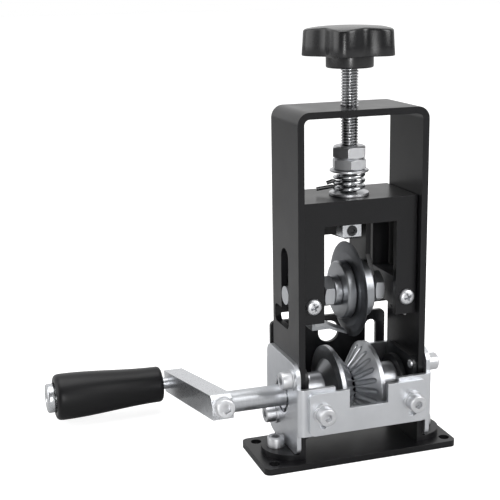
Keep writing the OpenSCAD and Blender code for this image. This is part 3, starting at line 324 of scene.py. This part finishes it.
# %% Give each node its finish
finishes = {
    powder_coat: ["base_plate", "main_frame", "rear_guide_plate", "carriage", "blade_hanger"],
    zinc_sheet: ["side_bracket_left", "side_bracket_right", "front_plate"],
    zinc_bar: ["crank_arm", "rod_end_block"],
    zinc_screw: ["bracket_washers", "front_plate_washers", "arm_clamp_washer", "spring_washer",
                 "jam_nuts", "foot_screws", "bracket_screws", "front_plate_screws",
                 "rear_plate_screws", "rear_plate_washers", "arm_clamp_screw", "carriage_screws"],
    black_oxide: ["bearing_retainer_left", "bearing_retainer_right", "hub_set_screws",
                  "spacer_rings", "rod_end_flange", "block_set_screw", "split_pin"],
    bearing_steel: ["bearing_outer_left", "bearing_outer_right", "bearing_balls_left",
                    "bearing_balls_right", "bearing_inner_left", "bearing_inner_right"],
    turned_steel: ["crank_shaft", "grip_spindle", "blade_bolt", "blade_nut", "blade_sleeve",
                   "guide_pins"],
    wheel_steel: ["feed_wheel_left", "feed_wheel_right"],
    guide_plastic: ["guide_block_left", "guide_block_right"],
    finger_steel: ["wire_finger"],
    blade_steel: ["blade_disc"],
    collar_steel: ["blade_collar_left", "blade_collar_right"],
    rod_steel: ["threaded_rod"],
    spring_steel: ["spring"],
    grip_plastic: ["grip"],
    cap_steel: ["grip_end_cap"],
    knob_plastic: ["adjuster_knob"],
}
for material, names in finishes.items():
    for name in names:
        slots = nodes[name].data.materials
        slots.clear()
        slots.append(material)
print("dressed:", sum(len(names) for names in finishes.values()), "of", len(nodes))

# %% [markdown]
# ## Helpers for new pieces
# An operator acts on all that is selected, so each new piece starts with nothing selected. When a
# piece is done, its place is written into its mesh, it is named, and it rides on the body of the
# node that it stands for.

# %% Start and finish a piece
def deselect():
    """Nothing selected, in object mode."""
    if bpy.context.object and bpy.context.object.mode == "EDIT":
        bpy.ops.object.mode_set(mode="OBJECT")
    bpy.ops.object.select_all(action="DESELECT")


def only(piece):
    """This piece selected and active, and nothing else."""
    deselect()
    piece.select_set(True)
    bpy.context.view_layer.objects.active = piece


def apply_all(piece):
    """Works the piece's modifiers into its mesh."""
    only(piece)
    for modifier in list(piece.modifiers):
        bpy.ops.object.modifier_apply(modifier=modifier.name)


def join(first, *others):
    """One object of several. It keeps the first one's name and place."""
    only(first)
    for other in others:
        other.select_set(True)
    bpy.ops.object.join()
    return first


def finish_piece(piece, name, body, material, slot, *replaced, angle=35):
    """Names and dresses a piece. Faces that meet at less than angle degrees shade smooth."""
    only(piece)
    bpy.ops.object.transform_apply(location=True, rotation=True, scale=True)
    bpy.ops.object.shade_smooth_by_angle(angle=math.radians(angle))
    piece.name = name
    piece.data.name = name
    piece.data.materials.clear()
    piece.data.materials.append(material)
    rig.ride(piece, body)
    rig.slot(piece, slot)
    if replaced:
        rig.replaces(piece, *replaced)
    print(name, "faces:", len(piece.data.polygons))
    return piece


# %% [markdown]
# ## Turned forms
# A grip, a cap and a screw's head are all turned: one outline carried round an axis. Here a ring
# is added at the first station and extruded to each next one, then drawn in or let out. The ends
# are closed with a face. It is the way a turner works along the piece, and it leaves clean rings.

# %% Carry a ring along its stations
def turned(stations, vertices=64):
    """A closed solid about +Z from (radius, height) stations in millimetres."""
    deselect()
    r, z = stations[0]
    bpy.ops.mesh.primitive_circle_add(vertices=vertices, radius=r * MM, fill_type="NGON",
                                      location=(0, 0, z * MM))
    piece = bpy.context.object
    bpy.ops.object.transform_apply(location=True, rotation=False, scale=False)
    bpy.ops.object.mode_set(mode="EDIT")
    bpy.ops.mesh.select_all(action="SELECT")
    for r_next, z_next in stations[1:]:
        bpy.ops.mesh.extrude_region_move(
            TRANSFORM_OT_translate={"value": (0, 0, (z_next - z) * MM)})
        k = r_next / r
        bpy.ops.transform.resize(value=(k, k, 1), center_override=(0, 0, z_next * MM))
        r, z = r_next, z_next
    bpy.ops.mesh.select_all(action="SELECT")
    bpy.ops.mesh.normals_make_consistent(inside=False)
    bpy.ops.object.mode_set(mode="OBJECT")
    return piece


def along(start, direction):
    """The matrix that stands a piece made about +Z at start, with its +Z along direction."""
    return Matrix.Translation(start) @ direction.to_track_quat("Z", "Y").to_matrix().to_4x4()


# %% [markdown]
# ## Grip and end cap
# The grip is a slim barrel, thicker at its outer end, with rounded rims, moulded in black plastic.
# The bright cap is the head of the spindle that the grip turns on. Both are turned forms, so the
# stations are their radii along the spindle. The crank's arm hangs 11.8 degrees below the level.

# %% Grip and end cap
shaft_y, shaft_z = 0.5, 28.9
arm_angle = math.radians(11.8)
throw = 73.8
spindle_at = place(0, shaft_y + throw * math.cos(arm_angle), shaft_z - throw * math.sin(arm_angle))
left = Vector((-1, 0, 0))
bore_r = 3.05
slim_r, swell = 9.1, 2.5
barrel_from, barrel_to, barrel_steps = 75.2, 122.5, 14


def smooth_step(t):
    """From 0 to 1 with a level start and end."""
    return t * t * (3 - 2 * t)


rim_in = [(bore_r, 73.0), (7.5, 73.0), (8.2, 73.15), (8.75, 73.6), (9.05, 74.3)]
barrel = [(slim_r + swell * smooth_step(t / barrel_steps),
           barrel_from + t * (barrel_to - barrel_from) / barrel_steps)
          for t in range(barrel_steps + 1)]
rim_out = [(11.6, 124.2), (11.45, 125.5), (11.1, 126.4), (10.5, 127.0), (9.8, 127.3),
           (7.9, 127.3), (7.75, 126.6), (bore_r, 126.6)]
grip = turned(rim_in + barrel + rim_out, 72)
grip.data.transform(along(spindle_at, left))
finish_piece(grip, "moulded_grip", "grip", grip_plastic, "grip_plastic", "grip", angle=40)

cap = turned([(3.0, 126.75), (6.0, 126.75), (6.0, 127.65), (6.9, 127.7), (7.25, 128.1),
              (7.3, 128.6), (7.3, 130.4), (7.15, 130.9), (6.8, 131.25), (6.2, 131.4),
              (3.2, 131.4), (2.6, 130.9), (0.4, 130.9)], 56)
cap.data.transform(along(spindle_at, left))
finish_piece(cap, "bright_end_cap", "crank", cap_steel, "cap_metal", "grip_end_cap")

# %% [markdown]
# ## Star knob
# The knob is a moulded star with five broad lobes on a round hub. Its plan is one closed wave, and
# its top is a low dome, so the rim stands higher in the valleys than on the lobes. The plan is
# drawn as a ring of points, extruded step by step with its size drawn in, and the upper rings are
# then lifted onto the dome. The solid that this piece stands for has six lobes: the photograph was
# measured again after the solids were finished, and its valleys and edges fit five.

# %% Star knob
# The direction of one lobe, from the X axis
knob_turn = math.radians(237.6)
knob_low = 182.3


def star_radius(angle, lobes=5, tip=20.5, valley=15.2):
    """The knob's radius in a direction, in millimetres, with one lobe along 0."""
    return valley + (tip - valley) * (1 + math.cos(lobes * angle)) / 2


def dome(r, top=195, fall=1.5, rim=20.6):
    """Height of the knob's top at a radius. All are in millimetres."""
    return top - fall * (r / rim) ** 3


deselect()
bpy.ops.mesh.primitive_circle_add(vertices=180, radius=20 * MM, fill_type="NGON",
                                  location=(0, 0, 0))
knob = bpy.context.object
for vertex in knob.data.vertices:
    angle = math.atan2(vertex.co.y, vertex.co.x)
    r = star_radius(angle - knob_turn) * MM
    vertex.co = Vector((r * math.cos(angle), r * math.sin(angle), knob_low * MM))
bpy.ops.object.mode_set(mode="EDIT")
bpy.ops.mesh.select_all(action="SELECT")
# Each ring's height, and its size as a share of the plan
knob_rings = [(182.4, 1.02), (182.7, 1.03), (187.0, 1.015), (191.0, 1.0), (191.5, 0.994),
              (192.0, 0.982), (193.0, 0.96), (193.3, 0.9), (193.6, 0.8), (193.9, 0.66),
              (194.2, 0.5), (194.5, 0.33), (194.8, 0.15)]
height, share = knob_low, 1.0
for next_height, next_share in knob_rings:
    bpy.ops.mesh.extrude_region_move(
        TRANSFORM_OT_translate={"value": (0, 0, (next_height - height) * MM)})
    k = next_share / share
    bpy.ops.transform.resize(value=(k, k, 1), center_override=(0, 0, next_height * MM))
    height, share = next_height, next_share
bpy.ops.object.mode_set(mode="OBJECT")
# The rings from the lowest of these up are lifted, and these three stay below the dome
below_dome = {191.0: 1.05, 191.5: 0.5, 192.0: 0.18}
for vertex in knob.data.vertices:
    at = round(vertex.co.z / MM, 1)
    if at >= min(below_dome):
        r = math.hypot(vertex.co.x, vertex.co.y) / MM
        vertex.co.z = (dome(r) - below_dome.get(at, 0)) * MM
bpy.ops.object.mode_set(mode="EDIT")
bpy.ops.mesh.select_all(action="SELECT")
bpy.ops.mesh.normals_make_consistent(inside=False)
bpy.ops.object.mode_set(mode="OBJECT")
hub = turned([(4.3, 183.2), (4.3, 177.0), (10.0, 177.0), (10.35, 177.15), (10.5, 177.6),
              (10.5, 183.3), (5.0, 183.3)], 64)
join(knob, hub)
knob.data.transform(Matrix.Translation(place(0, 0, 0)))
finish_piece(knob, "star_knob", "adjuster", knob_plastic, "knob_plastic", "adjuster_knob",
             angle=50)

# %% [markdown]
# ## Threaded rod
# An M8 thread rises 1.25 mm a turn. Modelling it matters, because the rod's light and dark rings
# are what the eye reads as a thread. A small four-cornered ring is the section of the ridge, and
# the Screw modifier carries it up the rod in one unbroken helix, whose two ends are then filled.

# %% Threaded rod
pitch = 1.25
low, high = 117.3, 180.0
ridge_half = 0.6
steps_a_turn = 28
weld = 0.01
deselect()
bpy.ops.mesh.primitive_circle_add(vertices=4, radius=1 * MM, fill_type="NOTHING",
                                  location=(0, 0, 0))
ridge = bpy.context.object
section = [(3.08, -ridge_half), (3.99, -0.07), (3.99, 0.07), (3.08, ridge_half)]
for vertex, (r, z) in zip(ridge.data.vertices, section):
    vertex.co = Vector((r * MM, 0, (low + ridge_half + z) * MM))
screw = ridge.modifiers.new("thread", "SCREW")
screw.axis = "Z"
screw.angle = 2 * math.pi
screw.screw_offset = pitch * MM
screw.iterations = int((high - low) / pitch)
screw.steps = steps_a_turn
screw.render_steps = steps_a_turn
screw.use_merge_vertices = False
apply_all(ridge)
bpy.ops.object.mode_set(mode="EDIT")
bpy.ops.mesh.select_all(action="SELECT")
bpy.ops.mesh.remove_doubles(threshold=weld * MM)
bpy.ops.mesh.fill_holes(sides=4)
bpy.ops.mesh.normals_make_consistent(inside=False)
bpy.ops.object.mode_set(mode="OBJECT")
core = turned([(2.3, 102.0), (2.75, 102.4), (2.75, 117.15), (3.2, 117.2), (3.2, 190.6),
               (2.9, 191.0)], 40)
join(ridge, core)
ridge.data.transform(Matrix.Translation(place(0, 0, 0)))
finish_piece(ridge, "rolled_thread_rod", "adjuster", rod_steel, "rod_steel", "threaded_rod",
             angle=30)

# %% [markdown]
# ## Spring
# The spring is 1.6 mm wire wound nearly three turns, with each end running on straight for one
# wire's thickness. A ring of twelve corners is the wire's section. The Screw modifier winds
# it, and the ends are extruded straight and closed.

# %% Spring
wire = 1.6
wire_corners = 12
coil_r = 6.5
washer_top = 121.8
spring_top = 131.1
play = 0.03
spring_low = washer_top + wire / 2 + play
coil_turns = 2.84
coil_steps = 120
rise = spring_top - washer_top - wire - 2 * play
phase = math.radians(100)
slope = math.atan2(rise / coil_turns, 2 * math.pi * coil_r)


def wire_turn(t):
    """The angle about the rod, from the coil's start at 0 to its end at 1."""
    return phase + 2 * math.pi * coil_turns * t


def wire_middle(t):
    """The middle of the wire's section there."""
    turn = wire_turn(t)
    return Vector((coil_r * MM * math.cos(turn), coil_r * MM * math.sin(turn),
                   (spring_low + rise * t) * MM))


def wire_way(t):
    """One wire's thickness along the wire there."""
    turn = wire_turn(t)
    way = Vector((-math.sin(turn) * math.cos(slope), math.cos(turn) * math.cos(slope),
                  math.sin(slope)))
    return way * wire * MM


deselect()
bpy.ops.mesh.primitive_circle_add(vertices=wire_corners, radius=wire / 2 * MM,
                                  fill_type="NOTHING", location=(0, 0, 0))
spring = bpy.context.object
spring.data.transform(Matrix.Rotation(phase, 4, "Z")
                      @ Matrix.Translation((coil_r * MM, 0, spring_low * MM))
                      @ Matrix.Rotation(math.pi / 2 + slope, 4, "X"))
wind = spring.modifiers.new("wind", "SCREW")
wind.axis = "Z"
wind.angle = 2 * math.pi * coil_turns
wind.screw_offset = rise * MM
wind.iterations = 1
wind.steps = coil_steps
wind.render_steps = coil_steps
wind.use_merge_vertices = False
apply_all(spring)
for end, sign in ((0.0, -1), (1.0, 1)):
    bpy.ops.object.mode_set(mode="EDIT")
    bpy.ops.mesh.select_all(action="DESELECT")
    bpy.ops.object.mode_set(mode="OBJECT")
    for vertex in spring.data.vertices:
        vertex.select = (vertex.co - wire_middle(end)).length < wire * 0.51 * MM
    bpy.ops.object.mode_set(mode="EDIT")
    bpy.ops.mesh.select_mode(type="VERT")
    bpy.ops.mesh.extrude_region_move(TRANSFORM_OT_translate={"value": wire_way(end) * sign})
    bpy.ops.mesh.edge_face_add()
bpy.ops.mesh.select_all(action="SELECT")
bpy.ops.mesh.normals_make_consistent(inside=False)
bpy.ops.object.mode_set(mode="OBJECT")
spring.data.transform(Matrix.Translation(place(0, 0, 0)))
finish_piece(spring, "wound_spring", "adjuster", spring_steel, "spring_steel", "spring", angle=50)

# %% [markdown]
# ## Spring washers
# The spring stands on a plain washer, and the photograph shows the rim of a thinner one between
# the spring and the lower nut. Stamped washers have slightly rounded rims, which catch the light.

# %% Spring washers
washer = turned([(4.2, 120.53), (8.8, 120.53), (9.0, 120.72), (9.0, 121.6), (8.8, washer_top),
                 (4.2, washer_top)], 64)
thin = turned([(4.2, 131.12), (8.55, 131.12), (8.75, 131.3), (8.75, 131.9), (8.55, 132.08),
               (4.2, 132.08)], 64)
join(washer, thin)
washer.data.transform(Matrix.Translation(place(0, 0, 0)))
finish_piece(washer, "spring_washers", "adjuster", zinc_screw, "bright_fasteners",
             "spring_washer", angle=40)

# %% [markdown]
# ## Nuts and the blade's bolt
# A hexagon nut is a hexagon bar whose corners a lathe has turned off at 30 degrees, which leaves a
# curved edge on each flat. So a turned body with sloping ends is cut to a hexagon bar with the
# Boolean modifier. Each is turned to show the corner that the photograph shows.

# %% Nuts and the blade's bolt
def hexagon(flats, height, corner):
    """A hexagon about +Z from 0 to height in millimetres, with a corner at an angle in degrees."""
    tip = flats / math.sqrt(3)
    face_r = flats * 0.46
    body_r = tip + 0.05
    slope = (tip - face_r) * math.tan(math.radians(30))
    body = turned([(face_r, 0), (body_r, slope), (body_r, height - slope), (face_r, height)], 72)
    deselect()
    bpy.ops.mesh.primitive_cylinder_add(vertices=6, radius=tip * MM, depth=height * 1.5 * MM,
                                        location=(0, 0, height / 2 * MM))
    bar = bpy.context.object
    cut = body.modifiers.new("flats", "BOOLEAN")
    cut.operation = "INTERSECT"
    cut.object = bar
    cut.solver = "EXACT"
    apply_all(body)
    bpy.data.objects.remove(bar)
    body.data.transform(Matrix.Rotation(math.radians(corner - 30), 4, "Z"))
    return body


low_nut = hexagon(14, 5.1, 13.9)
low_nut.data.transform(Matrix.Translation(place(0, 0, 132.1)))
high_nut = hexagon(14, 5.5, 3.4)
high_nut.data.transform(Matrix.Translation(place(0, 0, 137.23)))
finish_piece(join(low_nut, high_nut), "locked_nuts", "adjuster", zinc_screw, "bright_fasteners",
             "jam_nuts", angle=25)

# The bolt's +Z points left here, its +X to the front and its +Y up
facing_left = Matrix(((0, 0, -1, 0), (-1, 0, 0, 0), (0, 1, 0, 0), (0, 0, 0, 1)))
axle_y, axle_z = 0.5, 76.2
head_at = Matrix.Translation(place(-8.65, axle_y, axle_z)) @ facing_left
head = hexagon(13, 5.5, 22)
head.data.transform(head_at)
shank = turned([(3.6, -19.6), (3.97, -19.2), (3.97, 0.4)], 48)
shank.data.transform(head_at)
finish_piece(join(head, shank), "hexagon_bolt", "carriage", turned_steel, "turned_steel",
             "blade_bolt", angle=25)
bolt_nut = hexagon(13, 5.1, 26)
bolt_nut.data.transform(Matrix.Translation(place(15.78, axle_y, axle_z)) @ facing_left)
finish_piece(bolt_nut, "hexagon_nut", "carriage", turned_steel, "turned_steel", "blade_nut",
             angle=25)

# %% [markdown]
# ## Split pin
# The pin is folded from half-round wire. It lies in the rod's cross hole, leaves between two turns
# of the spring, and its two legs are bent apart behind it. Each leg is a turned bar pressed flat
# and laid from point to point.

# %% Split pin
def leg(start, end, stations):
    """A flat bar from start to end, with its breadth upright."""
    piece = turned(stations + [(stations[-1][0], (end - start).length / MM)], 20)
    piece.data.transform(Matrix.Scale(0.55, 4, (1, 0, 0)))
    way = (end - start).normalized()
    side = way.cross(Vector((0, 0, 1))).normalized()
    frame_of = Matrix((side, way.cross(side), way)).transposed().to_4x4()
    piece.data.transform(Matrix.Translation(start) @ frame_of)
    return piece


mouth = place(-3.4, 1.24, 125.6)
low_gap, high_gap = place(-6.3, 2.45, 124.3), place(-6.3, 2.2, 126.9)
low_tip, high_tip = place(-13.75, 5.0, 123.0), place(-9.4, 3.6, 125.7)
legs = [leg(mouth, low_gap, [(0.45, 0)]), leg(low_gap, low_tip, [(0.45, -0.4), (0.9, 0.9)]),
        leg(mouth, high_gap, [(0.45, 0)]), leg(high_gap, high_tip, [(0.45, -0.4), (0.9, 0.7)])]
eye = leg(place(4.6, -1.67, 125.9), mouth, [(0.7, 0), (0.7, 0.8), (0.55, 1.2)])
finish_piece(join(eye, *legs), "bent_split_pin", "adjuster", black_oxide, "dark_steel",
             "split_pin", angle=40)

# %% [markdown]
# ## Cap screws
# The screws are metric cap screws: a round head with a rounded rim, a hexagon socket, and a plain
# shank that disappears into its hole. One is turned, its socket is cut with the Boolean modifier,
# and it is then copied to each place, each copy with its own mesh.

# %% Model one cap screw
def cap_screw(head_r, head_h, socket, depth, shank_r, shank):
    """A screw about +Z, with the seat of its head at 0 and its shank below."""
    piece = turned([(shank_r * 0.8, -shank), (shank_r, -shank + 0.3), (shank_r, 0),
                    (head_r - 0.1, 0), (head_r, 0.12), (head_r, head_h - 0.55),
                    (head_r - 0.12, head_h - 0.25), (head_r - 0.35, head_h - 0.06),
                    (head_r - 0.6, head_h), (socket * 0.75, head_h)], 48)
    deselect()
    bpy.ops.mesh.primitive_cylinder_add(vertices=6, radius=socket / math.sqrt(3) * MM,
                                        depth=2 * depth * MM, location=(0, 0, head_h * MM))
    cutter = bpy.context.object
    cut = piece.modifiers.new("socket", "BOOLEAN")
    cut.object = cutter
    cut.solver = "EXACT"
    apply_all(piece)
    bpy.data.objects.remove(cutter)
    return piece


def spread(model, name, body, material, slot, replaced, places):
    """Copies of a model at (point, direction) places, joined as one piece."""
    copies = []
    for start, direction in places:
        copy = model.copy()
        copy.data = model.data.copy()
        bpy.context.collection.objects.link(copy)
        copy.data.transform(along(start, direction))
        copies.append(copy)
    if len(copies) > 1:
        join(*copies)
    bpy.data.objects.remove(model)
    return finish_piece(copies[0], name, body, material, slot, replaced)


up, front, back, right = (Vector(way) for way in ((0, 0, 1), (0, -1, 0), (0, 1, 0), (1, 0, 0)))
side_at = [(-13.3, 41.0), (9.2, 16.7)]
# The piece's name, the node it stands for, the shank's length, and the places
frame_screws = [
    ("foot_cap_screws", "foot_screws", 5.5, [(place(x, -3.4, 6), up) for x in (-37.4, 37.4)]),
    ("side_cap_screws", "bracket_screws", 9,
     [(place(33.8 * side, y, z), right * side) for side in (-1, 1) for y, z in side_at]),
    ("front_cap_screws", "front_plate_screws", 6,
     [(place(x, -25, 27.3), front) for x in (-22, 22)]),
    ("rear_cap_screws", "rear_plate_screws", 6,
     [(place(x, 27, 27.3), back) for x in (-22.2, 22.2)]),
]
for name, node, shank, places in frame_screws:
    spread(cap_screw(4, 4.6, 3.5, 2.4, 2, shank), name, "frame", zinc_screw, "bright_fasteners",
           node, places)
arm_front = Matrix.Rotation(-arm_angle, 4, "X")
clamp_at = place(0, shaft_y, shaft_z) + arm_front @ Vector((-64.25 * MM, -10.9 * MM, 0))
spread(cap_screw(4.2, 5, 4, 2.4, 2.5, 7), "clamp_cap_screw", "crank", zinc_screw,
       "bright_fasteners", "arm_clamp_screw", [(clamp_at, arm_front @ front)])

# %% [markdown]
# ## Cross-head screws
# Two pan head screws hold the carriage's front legs. The head is a low dome, and the cross is a
# pair of tapered grooves, cut here with a cutter made of two slim wedges.

# %% Cross-head screws
pan = turned([(1.6, -5), (2.0, -4.7), (2.0, 0), (3.55, 0), (3.65, 0.2), (3.6, 0.9), (3.3, 1.45),
              (2.6, 1.85), (1.5, 2.05), (0.3, 2.1)], 48)
groove_length = {"deep": 1.8, "top": 4.7}
groove_width = {"deep": 0.7, "top": 1.15}
groove_height = {"deep": 0.35, "top": 2.6}
deselect()
bpy.ops.mesh.primitive_cube_add(size=1, location=(0, 0, 0))
wedge = bpy.context.object
for vertex in wedge.data.vertices:
    end = "deep" if vertex.co.z < 0 else "top"
    vertex.co = Vector((vertex.co.x * groove_length[end] * MM,
                        vertex.co.y * groove_width[end] * MM, groove_height[end] * MM))
other = wedge.copy()
other.data = wedge.data.copy()
bpy.context.collection.objects.link(other)
other.data.transform(Matrix.Rotation(math.pi / 2, 4, "Z"))
for cutter in (wedge, other):
    cut = pan.modifiers.new("cross", "BOOLEAN")
    cut.object = cutter
    cut.solver = "EXACT"
apply_all(pan)
bpy.data.objects.remove(wedge)
bpy.data.objects.remove(other)
pan.data.transform(Matrix.Rotation(math.radians(20), 4, "Z"))
spread(pan, "cross_head_screws", "carriage", zinc_screw, "bright_fasteners", "carriage_screws",
       [(place(x, -13.6, 73.9), front) for x in (-22.6, 22.6)])

# %% [markdown]
# ## Floor, light and camera
# The object stands on a plain white floor. The world is what the metals and the gloss of the
# paint reflect: as in a studio, it is white behind the object and dim in front of it, which keeps
# black faces that look forwards black and lights those that are seen at a flat angle. Soft lamps
# give the forms their direction, and one stands low in front for the bright line on round pieces.
# The camera's place and lens were fitted to the photograph: it looks from the front left, 14
# degrees down, through a long lens.

# %% Floor
floor_size = 12
deselect()
bpy.ops.mesh.primitive_plane_add(size=floor_size, location=(0, 0, 0))
floor = bpy.context.object
floor.name = "floor"
bpy.ops.object.mode_set(mode="EDIT")
bpy.ops.mesh.subdivide(number_cuts=3)
bpy.ops.object.mode_set(mode="OBJECT")
# Plain matt paper. The camera also sees it glow, so that it reads as white and keeps its shadow
paper, tree, shader, where = start_material("white_paper_floor")
shader.inputs["Base Color"].default_value = tone("#bcbcbc")
shader.inputs["Roughness"].default_value = 0.8
shader.inputs["Specular IOR Level"].default_value = 0.1
seen = add(tree, "ShaderNodeLightPath").outputs["Is Camera Ray"]
glow = add(tree, "ShaderNodeEmission", {"Color": (1, 1, 1, 1), "Strength": 0.8})
bright = add(tree, "ShaderNodeAddShader")
tree.links.new(shader.outputs["BSDF"], bright.inputs[0])
tree.links.new(glow.outputs["Emission"], bright.inputs[1])
mix = add(tree, "ShaderNodeMixShader", {"Fac": seen})
tree.links.new(shader.outputs["BSDF"], mix.inputs[1])
tree.links.new(bright.outputs["Shader"], mix.inputs[2])
out = [n for n in tree.nodes if n.bl_idname == "ShaderNodeOutputMaterial"][0]
tree.links.new(mix.outputs["Shader"], out.inputs["Surface"])
floor.data.materials.append(paper)
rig.stage(floor)
print("floor:", floor.dimensions)

# %% World and lamps
world = bpy.data.worlds.new("pale_studio")
bpy.context.scene.world = world
world.use_nodes = True
tree = world.node_tree
tree.nodes.clear()
path = add(tree, "ShaderNodeLightPath")
direction = add(tree, "ShaderNodeTexCoord").outputs["Generated"]
sides = add(tree, "ShaderNodeSeparateXYZ", {"Vector": direction})
behind = add(tree, "ShaderNodeMapRange",
             {"Value": sides.outputs["Y"], "From Min": -0.6, "From Max": 0.7,
              "To Min": 0.22, "To Max": 1.0}, interpolation_type="SMOOTHSTEP")
studio = add(tree, "ShaderNodeBackground",
             {"Color": (1, 1, 1, 1), "Strength": behind.outputs["Result"]})
white = add(tree, "ShaderNodeBackground", {"Color": (1, 1, 1, 1), "Strength": 1.0})
mix = add(tree, "ShaderNodeMixShader", {"Fac": path.outputs["Is Camera Ray"]})
tree.links.new(studio.outputs["Background"], mix.inputs[1])
tree.links.new(white.outputs["Background"], mix.inputs[2])
add(tree, "ShaderNodeOutputWorld", {"Surface": mix.outputs["Shader"]})


def softbox(name, at, aim, size, power):
    """A lamp of some size in metres, at one point, aimed at another, with its power in watts."""
    lamp = bpy.data.lights.new(name, "AREA")
    lamp.shape = "RECTANGLE"
    lamp.size, lamp.size_y = size
    lamp.energy = power
    holder = bpy.data.objects.new(name, lamp)
    bpy.context.scene.collection.objects.link(holder)
    holder.location = at
    holder.rotation_euler = (Vector(aim) - Vector(at)).to_track_quat("-Z", "Y").to_euler()


tool_middle = (0, 0, 0.08)
softbox("key_right", (0.75, -0.85, 0.75), tool_middle, (0.7, 0.9), 12)
softbox("left_wall", (-1.0, 0.15, 0.45), tool_middle, (0.9, 0.9), 5)
softbox("top", (-0.1, 0.1, 1.2), tool_middle, (0.9, 0.9), 8)
softbox("low_front", (-0.16, -0.48, 0.14), (0, 0, 0.1), (0.07, 0.26), 0.9)
print("lamps:", [o.name for o in bpy.data.objects if o.type == "LIGHT"])

# %% Camera
# Where it stands in metres, how it is turned in radians, and its focal length in the pixels of a
# picture this wide
camera_at = (-0.1937, -0.4451, 0.2169)
yaw, pitch_down, roll = 0.316, 0.245, -0.017
focal_px, picture_px = 1101, 500
forward = Vector((math.sin(yaw) * math.cos(pitch_down), math.cos(yaw) * math.cos(pitch_down),
                  -math.sin(pitch_down)))
level = Vector((math.cos(yaw), -math.sin(yaw), 0))
upward = level.cross(forward)
across = level * math.cos(roll) + upward * math.sin(roll)
upward = upward * math.cos(roll) - level * math.sin(roll)
lens = bpy.data.cameras.new("camera")
lens.sensor_width = 36
lens.lens = focal_px / picture_px * lens.sensor_width
lens.clip_start, lens.clip_end = 0.01, 100
camera = bpy.data.objects.new("camera", lens)
bpy.context.scene.collection.objects.link(camera)
turn = Matrix((across, upward, -forward)).transposed().to_4x4()
camera.matrix_world = Matrix.Translation(camera_at) @ turn
bpy.context.scene.camera = camera
bpy.context.scene.view_settings.view_transform = "Standard"
print("camera at", camera.location, "lens", round(lens.lens, 1))

# %% [markdown]
# ## Size and finish
# The dressed object must stay inside the CAD model's box, so both boxes are written down before
# the frame is closed.

# %% Sizes and the last line
json.dump({"cad": cad_box, "visual": [list(corner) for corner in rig.bounds()]}, open("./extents.json", "w"))
print(open("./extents.json").read())
